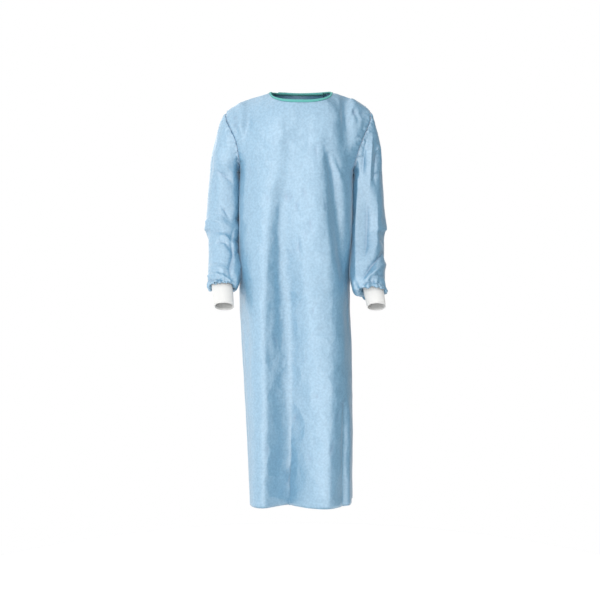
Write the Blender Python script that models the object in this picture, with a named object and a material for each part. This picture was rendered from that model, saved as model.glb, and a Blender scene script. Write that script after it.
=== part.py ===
"""A long-sleeved surgical gown of blue nonwoven cloth, filled out as if it were worn.

The front faces -Y, +Z is up and the wearer's left is +X. The origin lies between the two
neck points, where the shoulder seams meet the neck binding. Every cut piece is a grid of
points on the middle surface of its cloth: rows run down it and columns run round it. The
wall comes from moving that grid out and in by half the cloth's thickness.
"""

import functools
import math
from collections import namedtuple

import bmesh
import bpy
import numpy as np

# Cloth, in metres
WALL = 0.0015
SEAM_GAP = 0.0003
MOST_MITRE = 2.2

# Body lengths, from the neck points down
HEM_Z = -1.288
CHEST_Z = -0.30

# Neck opening
NECK_HALF_WIDTH = 0.094
NECK_Y = -0.012
NECK_FRONT_REACH = 0.098
NECK_FRONT_DROP = 0.043
NECK_BACK_REACH = 0.082
NECK_BACK_RISE = 0.012
NECK_FRONT_SQUARE = 2.6
NECK_BACK_SQUARE = 2.2

# Shoulder seams bend down towards the shoulder point by this power of the way along
SHOULDER_BEND = 1.6

# Grid of the body pieces
SHOULDER_COLUMNS = 5
HALF_NECK_COLUMNS = 10
LAP_COLUMNS = 5
ARMHOLE_ROWS = 11
UNDERARM_ROWS = 1
SKIRT_ROWS = 16
UPPER_ROWS = ARMHOLE_ROWS + UNDERARM_ROWS
SHOULDER_SHARE = 0.42

# How the cloth leaves the shoulder seams and the neck edge: ahead is away from the shoulder
# line, away is from the neck's middle, and pull is the share of the way to the chest line
AHEAD_AT_TIP, AHEAD_ALONG, AHEAD_AT_NECK = 1.0, 1.4, 1.5
AWAY_AT_NECK, AWAY_AT_CENTRE = 0.70, 0.25
TOP_PULL = 0.38

# How far the side edges and the easing of the shoulders spread, in rows and columns
SIDE_REACH = 7
EASE_ROUNDS = 10
EASE_REACH = 7
EASE_TOP_ROWS = 3
EASE_CHEST_ROWS = 4

# The left back piece is lifted off the right one, over this many columns from its shoulder
LAP_LIFT = 0.0060
LAP_RAMP_COLUMNS = 3

# Folds fade out within these rows and columns of a seam, and on cloth that faces too far from
# their face: they have no height at the first value of facing and all of it at the second
KEEP_ROWS = 4
KEEP_COLUMNS = 3
FACING_AHEAD = (0.15, 0.55)
FACING_ASIDE = (0.45, 0.85)

# Grid of the sleeves and cuffs
CAP_ROWS = 8
CAP_PULL = 0.36
CAP_PUSH, UNDERARM_PUSH = 0.20, 1.2
SLEEVE_STEP = 0.5
SLEEVE_SQUARE = 2.3
GATHER_WAVES = 11
GATHER_DEPTH = 0.0034
GATHER_FROM, GATHER_OVER = 3.6, 3.0
BODY_CLEARANCE = 0.0036
CLEARANCE_ROWS = 1.5
CLEARANCE_TOP = 0.06
CUFF_RIBS = 32
RIB_HEIGHT = 0.0006
CUFF_WALL = 0.0018
CUFF_ROWS = 2
SEAM_SHARES = (0.16, 0.05)
SEAM_STANDOFF = 0.0040

# Neck binding, folded over the neck edge, and the hook-and-loop pads under the back lap
BINDING_WIDTH = 0.0058
BINDING_THICKNESS = 0.0009
BINDING_GAP = 0.00098
CROWN_DROP = 0.0004
CROWN_INSET = 0.0006
PAD_HALF_COLUMNS = 3
PAD_FIRST_ROW = 1
PAD_LAST_ROW = 2

# Girth of the body at each height: half widths to the wearer's left and right, depths to the
# front and back, and how square the section is (2 is an ellipse)
Girth = namedtuple("Girth", "z left right front back square")
BODY = [
    Girth(z=-0.30, left=0.164, right=0.195, front=0.128, back=0.118, square=2.5),
    Girth(z=-0.45, left=0.160, right=0.196, front=0.134, back=0.124, square=2.5),
    Girth(z=-0.65, left=0.153, right=0.193, front=0.134, back=0.130, square=2.4),
    Girth(z=-0.85, left=0.157, right=0.183, front=0.132, back=0.135, square=2.4),
    Girth(z=-1.10, left=0.165, right=0.171, front=0.130, back=0.140, square=2.4),
    Girth(z=-1.29, left=0.165, right=0.163, front=0.130, back=0.142, square=2.4),
]

# Armhole seams from the shoulder point to the underarm: distance out from the middle, height,
# and how far the front and back edges stand from the shoulder line
Armhole = namedtuple("Armhole", "out z front back")
RIGHT_ARMHOLE = [
    Armhole(out=0.242, z=-0.058, front=0.000, back=0.000),
    Armhole(out=0.243, z=-0.065, front=0.019, back=0.018),
    Armhole(out=0.240, z=-0.089, front=0.040, back=0.038),
    Armhole(out=0.223, z=-0.123, front=0.055, back=0.054),
    Armhole(out=0.206, z=-0.156, front=0.062, back=0.064),
    Armhole(out=0.197, z=-0.200, front=0.052, back=0.056),
    Armhole(out=0.194, z=-0.235, front=0.026, back=0.030),
    Armhole(out=0.194, z=-0.250, front=0.000, back=0.000),
]
LEFT_ARMHOLE = [
    Armhole(out=0.206, z=-0.038, front=0.000, back=0.000),
    Armhole(out=0.219, z=-0.052, front=0.018, back=0.018),
    Armhole(out=0.225, z=-0.078, front=0.036, back=0.035),
    Armhole(out=0.212, z=-0.118, front=0.052, back=0.048),
    Armhole(out=0.189, z=-0.166, front=0.062, back=0.058),
    Armhole(out=0.175, z=-0.210, front=0.054, back=0.050),
    Armhole(out=0.165, z=-0.245, front=0.026, back=0.026),
    Armhole(out=0.162, z=-0.258, front=0.000, back=0.000),
]

# Sleeve sections from the upper arm to the cuff seam: centre, half width across, half depth
# from front to back, and how far the forearm points forward
Sleeve = namedtuple("Sleeve", "out y z wide deep pitch")
RIGHT_SLEEVE = [
    Sleeve(out=0.2430, y=0.022, z=-0.300, wide=0.0510, deep=0.066, pitch=0),
    Sleeve(out=0.2450, y=0.030, z=-0.365, wide=0.0560, deep=0.066, pitch=2),
    Sleeve(out=0.2480, y=0.028, z=-0.425, wide=0.0590, deep=0.066, pitch=10),
    Sleeve(out=0.2420, y=0.008, z=-0.480, wide=0.0510, deep=0.062, pitch=20),
    Sleeve(out=0.2410, y=-0.022, z=-0.535, wide=0.0500, deep=0.056, pitch=24),
    Sleeve(out=0.2400, y=-0.050, z=-0.583, wide=0.0500, deep=0.051, pitch=24),
    Sleeve(out=0.2420, y=-0.064, z=-0.610, wide=0.0455, deep=0.047, pitch=24),
    Sleeve(out=0.2430, y=-0.073, z=-0.619, wide=0.0415, deep=0.042, pitch=24),
]
LEFT_SLEEVE = [
    Sleeve(out=0.2110, y=0.022, z=-0.300, wide=0.0510, deep=0.066, pitch=0),
    Sleeve(out=0.2130, y=0.030, z=-0.365, wide=0.0550, deep=0.066, pitch=2),
    Sleeve(out=0.2140, y=0.028, z=-0.425, wide=0.0580, deep=0.066, pitch=10),
    Sleeve(out=0.2100, y=0.008, z=-0.480, wide=0.0530, deep=0.062, pitch=20),
    Sleeve(out=0.2090, y=-0.024, z=-0.540, wide=0.0530, deep=0.058, pitch=24),
    Sleeve(out=0.2085, y=-0.056, z=-0.592, wide=0.0530, deep=0.054, pitch=24),
    Sleeve(out=0.2110, y=-0.074, z=-0.625, wide=0.0490, deep=0.049, pitch=24),
    Sleeve(out=0.2200, y=-0.080, z=-0.631, wide=0.0425, deep=0.042, pitch=24),
]

# Cuffs from the seam inside the sleeve's end to the open wrist
RIGHT_CUFF = [
    Sleeve(out=0.2470, y=-0.0600, z=-0.5890, wide=0.0320, deep=0.0305, pitch=24),
    Sleeve(out=0.2350, y=-0.1040, z=-0.6740, wide=0.0285, deep=0.0275, pitch=25),
]
LEFT_CUFF = [
    Sleeve(out=0.2190, y=-0.0643, z=-0.5970, wide=0.0310, deep=0.0295, pitch=24),
    Sleeve(out=0.2310, y=-0.1040, z=-0.6750, wide=0.0270, deep=0.0265, pitch=25),
]

# Folds of the body. Each stands out of one face, or sinks in where its height is negative,
# and its middle runs through the places given: across is x on the front and back and y on
# the two sides. It spreads by one width towards lower values and by another towards higher
Fold = namedtuple("Fold", "z across lower upper height")
FRONT_FOLDS = {
    "right_crest": [
        Fold(z=-0.30, across=-0.125, lower=0.040, upper=0.040, height=0.000),
        Fold(z=-0.50, across=-0.120, lower=0.038, upper=0.038, height=0.005),
        Fold(z=-0.80, across=-0.118, lower=0.036, upper=0.036, height=0.012),
        Fold(z=-1.29, across=-0.118, lower=0.036, upper=0.036, height=0.018),
    ],
    "right_trough": [
        Fold(z=-0.14, across=-0.036, lower=0.022, upper=0.030, height=-0.001),
        Fold(z=-0.32, across=-0.054, lower=0.024, upper=0.034, height=-0.006),
        Fold(z=-0.48, across=-0.060, lower=0.024, upper=0.040, height=-0.018),
        Fold(z=-0.70, across=-0.044, lower=0.032, upper=0.052, height=-0.036),
        Fold(z=-1.00, across=-0.034, lower=0.040, upper=0.060, height=-0.060),
        Fold(z=-1.29, across=-0.048, lower=0.036, upper=0.060, height=-0.090),
    ],
    "left_crest": [
        Fold(z=-0.60, across=0.100, lower=0.050, upper=0.050, height=0.000),
        Fold(z=-0.90, across=0.100, lower=0.050, upper=0.050, height=0.006),
        Fold(z=-1.29, across=0.082, lower=0.045, upper=0.045, height=0.010),
    ],
    "left_trough": [
        Fold(z=-0.14, across=0.074, lower=0.014, upper=0.014, height=-0.002),
        Fold(z=-0.20, across=0.080, lower=0.016, upper=0.016, height=-0.009),
        Fold(z=-0.36, across=0.106, lower=0.020, upper=0.020, height=-0.018),
        Fold(z=-0.50, across=0.128, lower=0.020, upper=0.020, height=-0.016),
        Fold(z=-0.66, across=0.142, lower=0.020, upper=0.020, height=-0.004),
        Fold(z=-0.80, across=0.145, lower=0.020, upper=0.020, height=0.000),
    ],
    "right_shoulder_trough": [
        Fold(z=-0.04, across=-0.166, lower=0.014, upper=0.014, height=-0.004),
        Fold(z=-0.11, across=-0.168, lower=0.016, upper=0.016, height=-0.008),
        Fold(z=-0.20, across=-0.166, lower=0.018, upper=0.018, height=-0.003),
        Fold(z=-0.30, across=-0.166, lower=0.018, upper=0.018, height=0.000),
    ],
    "left_shoulder_trough": [
        Fold(z=-0.04, across=0.128, lower=0.014, upper=0.014, height=-0.005),
        Fold(z=-0.11, across=0.130, lower=0.016, upper=0.016, height=-0.012),
        Fold(z=-0.18, across=0.138, lower=0.018, upper=0.018, height=-0.006),
        Fold(z=-0.28, across=0.150, lower=0.018, upper=0.018, height=0.000),
    ],
}
BACK_FOLDS = {
    "right_trough": [
        Fold(z=-0.16, across=-0.095, lower=0.030, upper=0.030, height=-0.002),
        Fold(z=-0.50, across=-0.105, lower=0.030, upper=0.030, height=-0.010),
        Fold(z=-1.29, across=-0.112, lower=0.032, upper=0.032, height=-0.030),
    ],
    "left_trough": [
        Fold(z=-0.16, across=0.090, lower=0.030, upper=0.030, height=-0.002),
        Fold(z=-0.50, across=0.105, lower=0.028, upper=0.028, height=-0.012),
        Fold(z=-1.29, across=0.110, lower=0.030, upper=0.030, height=-0.034),
    ],
    "centre_crest": [
        Fold(z=-0.35, across=-0.020, lower=0.060, upper=0.060, height=0.000),
        Fold(z=-0.80, across=-0.015, lower=0.060, upper=0.060, height=0.008),
        Fold(z=-1.29, across=-0.010, lower=0.060, upper=0.060, height=0.016),
    ],
}
LEFT_SIDE_FOLDS = {
    "trough": [
        Fold(z=-0.80, across=-0.014, lower=0.022, upper=0.022, height=0.000),
        Fold(z=-1.05, across=-0.012, lower=0.024, upper=0.024, height=-0.008),
        Fold(z=-1.29, across=-0.010, lower=0.024, upper=0.024, height=-0.014),
    ],
    "crest": [
        Fold(z=-0.75, across=0.068, lower=0.034, upper=0.030, height=0.000),
        Fold(z=-1.00, across=0.068, lower=0.034, upper=0.030, height=0.010),
        Fold(z=-1.29, across=0.070, lower=0.034, upper=0.030, height=0.015),
    ],
}
RIGHT_SIDE_FOLDS = {
    "trough": [
        Fold(z=-0.60, across=0.030, lower=0.025, upper=0.025, height=0.000),
        Fold(z=-0.90, across=0.034, lower=0.025, upper=0.025, height=-0.008),
        Fold(z=-1.29, across=0.040, lower=0.028, upper=0.028, height=-0.016),
    ],
}

# Folds of a sleeve: how far down the table of sections, which way round (0 is outwards, 90 is
# forwards), how far it spreads each way, and its height
Crease = namedtuple("Crease", "row turn long wide height")
RIGHT_CREASES = [
    Crease(row=1.0, turn=60, long=55, wide=0.35, height=-0.006),
    Crease(row=2.45, turn=20, long=60, wide=0.22, height=-0.005),
    Crease(row=3.1, turn=130, long=50, wide=0.30, height=-0.006),
    Crease(row=4.0, turn=60, long=40, wide=0.35, height=-0.004),
    Crease(row=2.8, turn=250, long=60, wide=0.30, height=-0.006),
]
LEFT_CREASES = [
    Crease(row=0.8, turn=30, long=50, wide=0.35, height=-0.005),
    Crease(row=2.55, turn=30, long=50, wide=0.20, height=-0.006),
    Crease(row=4.7, turn=100, long=60, wide=0.25, height=-0.008),
    Crease(row=3.2, turn=140, long=50, wide=0.35, height=-0.005),
    Crease(row=2.8, turn=250, long=60, wide=0.30, height=-0.006),
]

# Edges sharper than this many degrees are drawn sharp
SHARP_ANGLE = 50

# Colours: base, roughness
CLOTH_BLUE = ((0.43, 0.64, 0.80, 1.0), 0.65)
BINDING_TEAL = ((0.12, 0.50, 0.47, 1.0), 0.7)
KNIT_WHITE = ((0.88, 0.88, 0.87, 1.0), 0.9)
PAD_WHITE = ((0.80, 0.82, 0.83, 1.0), 0.8)


def smooth(share):
    """Rises from 0 to 1 with no slope at either end."""
    share = np.clip(share, 0.0, 1.0)
    return share * share * (3.0 - 2.0 * share)


def unit(vectors):
    """The vectors, each one metre long."""
    return vectors / np.linalg.norm(vectors, axis=-1, keepdims=True)


def through(places, values, at):
    """Reads a smooth curve through the values at a place between them."""
    order = np.argsort(places)
    places = np.asarray(places, float)[order]
    values = np.asarray(values, float)[order]
    slopes = np.gradient(values, places)
    at = np.clip(at, places[0], places[-1])
    low = np.clip(np.searchsorted(places, at) - 1, 0, len(places) - 2)
    step = places[low + 1] - places[low]
    t = (at - places[low]) / step
    start = values[low] * (1 + 2 * t) * (1 - t) ** 2 + values[low + 1] * t * t * (3 - 2 * t)
    return start + step * (slopes[low] * t * (1 - t) ** 2 - slopes[low + 1] * t * t * (1 - t))


def column_of(rows, name):
    """One named column of a table."""
    return [getattr(row, name) for row in rows]


def at_height(rows, name, z):
    """One named column of a table whose rows have heights, read at a height."""
    return through(column_of(rows, "z"), column_of(rows, name), z)


def bezier(start, start_pull, end_pull, end, t):
    """A curve from start to end that leaves and arrives along its pulls."""
    t = np.asarray(t)[..., None]
    return (
        (1 - t) ** 3 * start
        + 3 * (1 - t) ** 2 * t * start_pull
        + 3 * (1 - t) * t**2 * end_pull
        + t**3 * end
    )


def powered(value, square):
    """A sine or cosine bent so that an ellipse becomes squarer."""
    return np.sign(value) * np.abs(value) ** (2.0 / square)


@functools.lru_cache(maxsize=None)
def plain_section(z):
    """The body's section with no folds: the share of the way round, and x and y, at each point.

    The share is 0 at the wearer's left side, 0.25 at the centre front, 0.5 at the right side
    and 0.75 at the centre back, and it grows evenly with the cloth inside each quarter.
    """
    steps = 48
    angle = np.linspace(0.0, 2 * math.pi, 4 * steps + 1)
    square = at_height(BODY, "square", z)
    across = powered(np.cos(angle), square)
    deep = powered(np.sin(angle), square)
    left, right = at_height(BODY, "left", z), at_height(BODY, "right", z)
    front, back = at_height(BODY, "front", z), at_height(BODY, "back", z)
    x = across * np.where(across > 0, left, right)
    y = -deep * np.where(deep > 0, front, back)
    run = np.concatenate([[0.0], np.cumsum(np.hypot(np.diff(x), np.diff(y)))])
    share = np.zeros_like(run)
    for quarter in range(4):
        part = slice(quarter * steps, (quarter + 1) * steps + 1)
        share[part] = (quarter + (run[part] - run[part][0]) / (run[part][-1] - run[part][0])) / 4
    return share, x, y


def body_points(z, turns):
    """Points of the plain section at a height, at each share of the way round."""
    share, x, y = plain_section(z)
    turns = np.asarray(turns)
    return np.stack(
        [np.interp(turns, share, x), np.interp(turns, share, y), np.full(turns.shape, z)], axis=-1
    )


def neck_point(turn):
    """A point of the neck edge: 0 is the left neck point, 0.25 the centre front and so on."""
    angle = 2 * math.pi * turn
    front = math.sin(angle) > 0
    square = NECK_FRONT_SQUARE if front else NECK_BACK_SQUARE
    across = powered(math.cos(angle), square)
    deep = abs(powered(math.sin(angle), square))
    reach = -NECK_FRONT_REACH if front else NECK_BACK_REACH
    rise = -NECK_FRONT_DROP if front else NECK_BACK_RISE
    return np.array([NECK_HALF_WIDTH * across, NECK_Y + reach * deep, rise * deep])


def shoulder_seam(armhole, side):
    """The shoulder seam from the shoulder point to the neck point. Side is 1 for the left."""
    tip = armhole[0]
    share = np.linspace(1.0, 0.0, SHOULDER_COLUMNS + 1)
    out = NECK_HALF_WIDTH + (tip.out - NECK_HALF_WIDTH) * share
    return np.stack([side * out, NECK_Y * (1 - share), tip.z * share**SHOULDER_BEND], axis=-1)


def armhole_edge(armhole, side, face):
    """One edge of an armhole, from the shoulder point to the underarm, evenly spaced."""
    steps = 30
    fine = np.linspace(0, len(armhole) - 1, steps * (len(armhole) - 1) + 1)
    index = np.arange(len(armhole))
    out, z, stand = (through(index, column_of(armhole, name), fine) for name in ("out", "z", face))
    stand = np.maximum(stand, 0.0)
    points = np.stack([side * out, stand * (-1 if face == "front" else 1), z], axis=-1)
    run = np.concatenate([[0], np.cumsum(np.linalg.norm(np.diff(points, axis=0), axis=1))])
    even = np.linspace(0, run[-1], ARMHOLE_ROWS + 1)
    return np.stack([np.interp(even, run, points[:, k]) for k in range(3)], axis=-1)


def side_edge(armhole, side, face):
    """A body piece's side edge above the chest line: the armhole, then down to that line."""
    edge = armhole_edge(armhole, side, face)
    foot = body_points(CHEST_Z, 0.0 if side > 0 else 0.5)
    down = np.linspace(0, 1, UNDERARM_ROWS + 1)[1:, None]
    return np.concatenate([edge, edge[-1] + (foot - edge[-1]) * down])


def half_turns():
    """Shares of a quarter of the girth, from the side seam to the centre, one a column."""
    shoulder = np.linspace(0, SHOULDER_SHARE, SHOULDER_COLUMNS + 1)
    neck = np.linspace(SHOULDER_SHARE, 1, HALF_NECK_COLUMNS + 1)[1:]
    return np.concatenate([shoulder, neck]) / 4


def push_of_columns():
    """How strongly each column leaves the top edge, ahead and away from the neck's middle."""
    along = np.linspace(0, 1, SHOULDER_COLUMNS + 1)
    neck = np.linspace(0, 1, HALF_NECK_COLUMNS + 1)[1:]
    beside = np.interp(along, [0, 0.4, 1], [AHEAD_AT_TIP, AHEAD_ALONG, AHEAD_AT_NECK])
    ahead = np.concatenate([beside, AHEAD_AT_NECK * (1 - neck) ** 2])
    fading = AWAY_AT_CENTRE + (AWAY_AT_NECK - AWAY_AT_CENTRE) * (1 - smooth(neck))
    away = np.concatenate([AWAY_AT_NECK * along**2, fading])
    return np.stack([ahead, away], axis=-1)


def upper_grid(tops, turns, push, face, sides):
    """The grid from the top edge to the chest line. Sides maps a column to its side edge."""
    ahead = np.array([0.0, -1.0 if face == "front" else 1.0, 0.0])
    away = unit((tops - (0.0, NECK_Y, 0.0)) * (1.0, 1.0, 0.0))
    chest = body_points(CHEST_Z, turns)
    rising = unit(chest - body_points(CHEST_Z - 0.02, turns))
    reach = np.linalg.norm(tops - chest, axis=-1, keepdims=True)
    leaving = unit(unit(chest - tops) + push[:, :1] * ahead + push[:, 1:] * away)
    down = np.linspace(0, 1, UPPER_ROWS + 1)[:, None]
    pulls = tops + TOP_PULL * reach * leaving, chest + TOP_PULL * reach * rising
    grid = bezier(tops, pulls[0], pulls[1], chest, down)
    columns = np.arange(len(tops))
    for column, edge in sides.items():
        near = 1 - smooth(np.abs(columns - column) / SIDE_REACH)
        grid = grid + near[None, :, None] * (edge - grid[:, column])[:, None, :]
    from_side = np.min([np.abs(columns - column) for column in sides], axis=0)
    eased = 1 - smooth(np.abs(from_side - SHOULDER_COLUMNS) / EASE_REACH)
    rows = np.arange(UPPER_ROWS + 1)[:, None]
    weight = smooth(rows / EASE_TOP_ROWS) * smooth((UPPER_ROWS - rows) / EASE_CHEST_ROWS)
    weight = weight * eased
    for _ in range(EASE_ROUNDS):
        beside = (grid[:, :-2] + grid[:, 2:]) / 2 - grid[:, 1:-1]
        grid[:, 1:-1] += weight[:, 1:-1, None] * beside / 2
    return grid


def skirt_grid(turns):
    """The grid below the chest line."""
    heights = np.linspace(CHEST_Z, HEM_Z, SKIRT_ROWS + 1)[1:]
    return np.stack([body_points(z, turns) for z in heights])


class Piece:
    """A cut piece: its middle surface as a grid of points, and its wall's direction at each."""

    def __init__(self, name, mid, round_column=False):
        self.name = name
        self.mid = mid
        self.round_column = round_column
        self.aim()

    def aim(self):
        """Points the wall out of the surface at each grid point."""
        if self.round_column:
            wrapped = np.concatenate([self.mid[:, -1:], self.mid, self.mid[:, :1]], axis=1)
            across = (wrapped[:, 2:] - wrapped[:, :-2]) / 2
        else:
            across = np.gradient(self.mid, axis=1)
        self.out = unit(np.cross(across, np.gradient(self.mid, axis=0)))

    def borders(self):
        """The indices along each border, and the step from that border into the piece."""
        rows, columns = self.mid.shape[:2]
        down, along = np.arange(rows), np.arange(columns)
        found = [
            ((np.zeros(columns, int), along), (1, 0)),
            ((np.full(columns, rows - 1), along), (-1, 0)),
        ]
        if not self.round_column:
            found.append(((down, np.zeros(rows, int)), (0, 1)))
            found.append(((down, np.full(rows, columns - 1)), (0, -1)))
        return found


def shared_points(pieces):
    """The border points at which two or more pieces meet, as lists of (piece, index)."""
    meeting = {}
    for piece in pieces:
        for (rows, columns), _ in piece.borders():
            for index in zip(rows.tolist(), columns.tolist()):
                key = tuple(np.round(piece.mid[index], 6))
                meeting.setdefault(key, {})[(piece.name, index)] = piece
    found = []
    for members in meeting.values():
        if len({name for name, _ in members}) > 1:
            found.append([(piece, index) for (_, index), piece in members.items()])
    return found


def agree(pieces, mitre=False):
    """Gives pieces that meet at a point one wall direction there. Returns the shared points."""
    meeting = shared_points(pieces)
    for members in meeting:
        own = np.array([piece.out[index] for piece, index in members])
        mean = unit(own.sum(axis=0))
        if mitre:
            mean = mean / np.clip((own @ mean).mean(), 1 / MOST_MITRE, 1.0)
        for piece, index in members:
            piece.out[index] = mean
    return meeting


def part_seams(pieces, meeting):
    """Draws each piece back from its seams by half the gap."""
    on_seam = {(piece.name, index) for members in meeting for piece, index in members}
    for piece in pieces:
        moved = np.zeros_like(piece.mid)
        for (rows, columns), (down, along) in piece.borders():
            border = list(zip(rows.tolist(), columns.tolist()))
            shared = [(piece.name, index) in on_seam for index in border]
            for place, index in enumerate(border):
                beside = shared[max(place - 1, 0) : place + 2]
                if shared[place] and sum(beside) > 1:
                    within = (index[0] + down, index[1] + along)
                    moved[index] += unit(piece.mid[within] - piece.mid[index]) * SEAM_GAP / 2
        piece.mid = piece.mid + moved


def fold_height(folds, across, z):
    """How far a face's folds move the cloth out at each point."""
    total = np.zeros_like(z)
    for rows in folds.values():
        away = across - at_height(rows, "across", z)
        width = np.where(away < 0, at_height(rows, "lower", z), at_height(rows, "upper", z))
        total += at_height(rows, "height", z) * np.exp(-((away / width) ** 2))
    return total


def keep_edges(piece_rows, side_distance):
    """0 along the armholes and the top edge, rising to 1 inside a body piece."""
    rows = np.arange(piece_rows)[:, None]
    top = smooth(rows / KEEP_ROWS)
    side = 1 - smooth(side_distance / KEEP_COLUMNS)[None, :]
    above = 1 - smooth((rows - ARMHOLE_ROWS) / KEEP_ROWS)
    return top * (1 - side * above)


def add_folds(piece, side_distance):
    """Moves a body piece's points by the folds of the faces they look out of."""
    x, y, z = (piece.mid[..., k] for k in range(3))
    ahead, aside = piece.out[..., 1], piece.out[..., 0]
    faces = [
        (FRONT_FOLDS, x, -ahead, FACING_AHEAD),
        (BACK_FOLDS, x, ahead, FACING_AHEAD),
        (LEFT_SIDE_FOLDS, y, aside, FACING_ASIDE),
        (RIGHT_SIDE_FOLDS, y, -aside, FACING_ASIDE),
    ]
    height = sum(
        fold_height(folds, across, z) * smooth((facing - low) / (high - low))
        for folds, across, facing, (low, high) in faces
    )
    height = height * keep_edges(len(piece.mid), side_distance)
    piece.mid = piece.mid + piece.out * height[..., None]


def make_front():
    """The front, from its left side seam round to its right one."""
    quarter = half_turns()
    turns = np.concatenate([quarter, 0.5 - quarter[-2::-1]])
    left, right = shoulder_seam(LEFT_ARMHOLE, 1), shoulder_seam(RIGHT_ARMHOLE, -1)
    neck = [neck_point(t) for t in np.linspace(0, 0.5, 2 * HALF_NECK_COLUMNS + 1)]
    tops = np.concatenate([left[:-1], neck, right[-2::-1]])
    half_push = push_of_columns()
    push = np.concatenate([half_push, half_push[-2::-1]])
    sides = {
        0: side_edge(LEFT_ARMHOLE, 1, "front"),
        len(tops) - 1: side_edge(RIGHT_ARMHOLE, -1, "front"),
    }
    upper = upper_grid(tops, turns, push, "front", sides)
    return Piece("front", np.concatenate([upper, skirt_grid(turns)]))


def make_back(side):
    """One back piece, from its side seam round past the centre back to its free edge."""
    quarter = half_turns()
    step = quarter[-1] - quarter[-2]
    beyond = 0.25 + step * np.arange(1, LAP_COLUMNS + 1)
    shares = np.concatenate([quarter, beyond])
    turns = 1 - shares if side > 0 else 0.5 + shares
    columns = HALF_NECK_COLUMNS + LAP_COLUMNS
    neck_turns = np.arange(1, columns + 1) / HALF_NECK_COLUMNS / 4
    neck = [neck_point(1 - t if side > 0 else 0.5 + t) for t in neck_turns]
    armhole = LEFT_ARMHOLE if side > 0 else RIGHT_ARMHOLE
    tops = np.concatenate([shoulder_seam(armhole, side), neck])
    half_push = push_of_columns()
    push = np.concatenate([half_push, half_push[-2 : -2 - LAP_COLUMNS : -1]])
    upper = upper_grid(tops, turns, push, "back", {0: side_edge(armhole, side, "back")})
    grid = np.concatenate([upper, skirt_grid(turns)])
    name = "back_left" if side > 0 else "back_right"
    return Piece(name, grid[:, ::-1] if side > 0 else grid)


def lift_lap(piece):
    """Lifts the left back piece off the right one, from its shoulder towards the lap."""
    columns = piece.mid.shape[1]
    from_side = columns - 1 - np.arange(columns)
    lift = LAP_LIFT * smooth((from_side - SHOULDER_COLUMNS) / LAP_RAMP_COLUMNS)
    piece.mid = piece.mid + piece.out * lift[None, :, None]


def sleeve_ring(rows, side, row, angles):
    """A section of a sleeve or cuff, at a place down its table of sections."""
    index = np.arange(len(rows))
    out, y, z, wide, deep, pitch = (
        through(index, column_of(rows, name), row) for name in Sleeve._fields
    )
    pitch = math.radians(pitch)
    across = wide * powered(np.cos(angles), SLEEVE_SQUARE)
    ahead = deep * powered(np.sin(angles), SLEEVE_SQUARE)
    return np.stack(
        [side * out + across, y - ahead * math.cos(pitch), z + ahead * math.sin(pitch)], axis=-1
    )


def crease_height(creases, row, outward):
    """How far a sleeve's creases move the cloth out, at a row and at each outward angle."""
    total = np.zeros_like(outward)
    for crease in creases:
        away = (outward - crease.turn + 180) % 360 - 180
        spread = (away / crease.long) ** 2 + ((row - crease.row) / crease.wide) ** 2
        total += crease.height * np.exp(-spread)
    return total


def gather_height(row, last_row, count):
    """The gathers at the cuff: a wave from column to column that dies out up the forearm."""
    grow = smooth((row - GATHER_FROM) / GATHER_OVER) * smooth((last_row - row) / 2)
    wave = np.cos(2 * math.pi * GATHER_WAVES * np.arange(count) / count)
    return GATHER_DEPTH * grow * wave


def seam_rows(cuff):
    """Two sections of the sleeve's gathered end, close round the top of the cuff."""
    found = []
    for share in SEAM_SHARES:
        middle = Sleeve(*(a + (b - a) * share for a, b in zip(*cuff)))
        wide, deep = middle.wide + SEAM_STANDOFF, middle.deep + SEAM_STANDOFF
        found.append(middle._replace(wide=wide, deep=deep))
    return found


def body_side(y, z, side):
    """How far out the body's side lies at each depth and height, or 0 past its front or back."""
    z = np.minimum(z, CHEST_Z)
    square = at_height(BODY, "square", z)
    deep = np.where(y < 0, at_height(BODY, "front", z), at_height(BODY, "back", z))
    wide = at_height(BODY, "left" if side > 0 else "right", z)
    return wide * np.maximum(1 - np.abs(y / deep) ** square, 0) ** (1 / square)


def clear_of_body(points, side, grow):
    """Moves a sleeve's points out until they clear the body's side."""
    needed = body_side(points[..., 1], points[..., 2], side) + BODY_CLEARANCE * grow
    below = points[..., 2] < CHEST_Z + CLEARANCE_TOP
    out = np.where(below, np.maximum(points[..., 0] * side, needed), points[..., 0] * side)
    return np.stack([out * side, points[..., 1], points[..., 2]], axis=-1)


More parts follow.
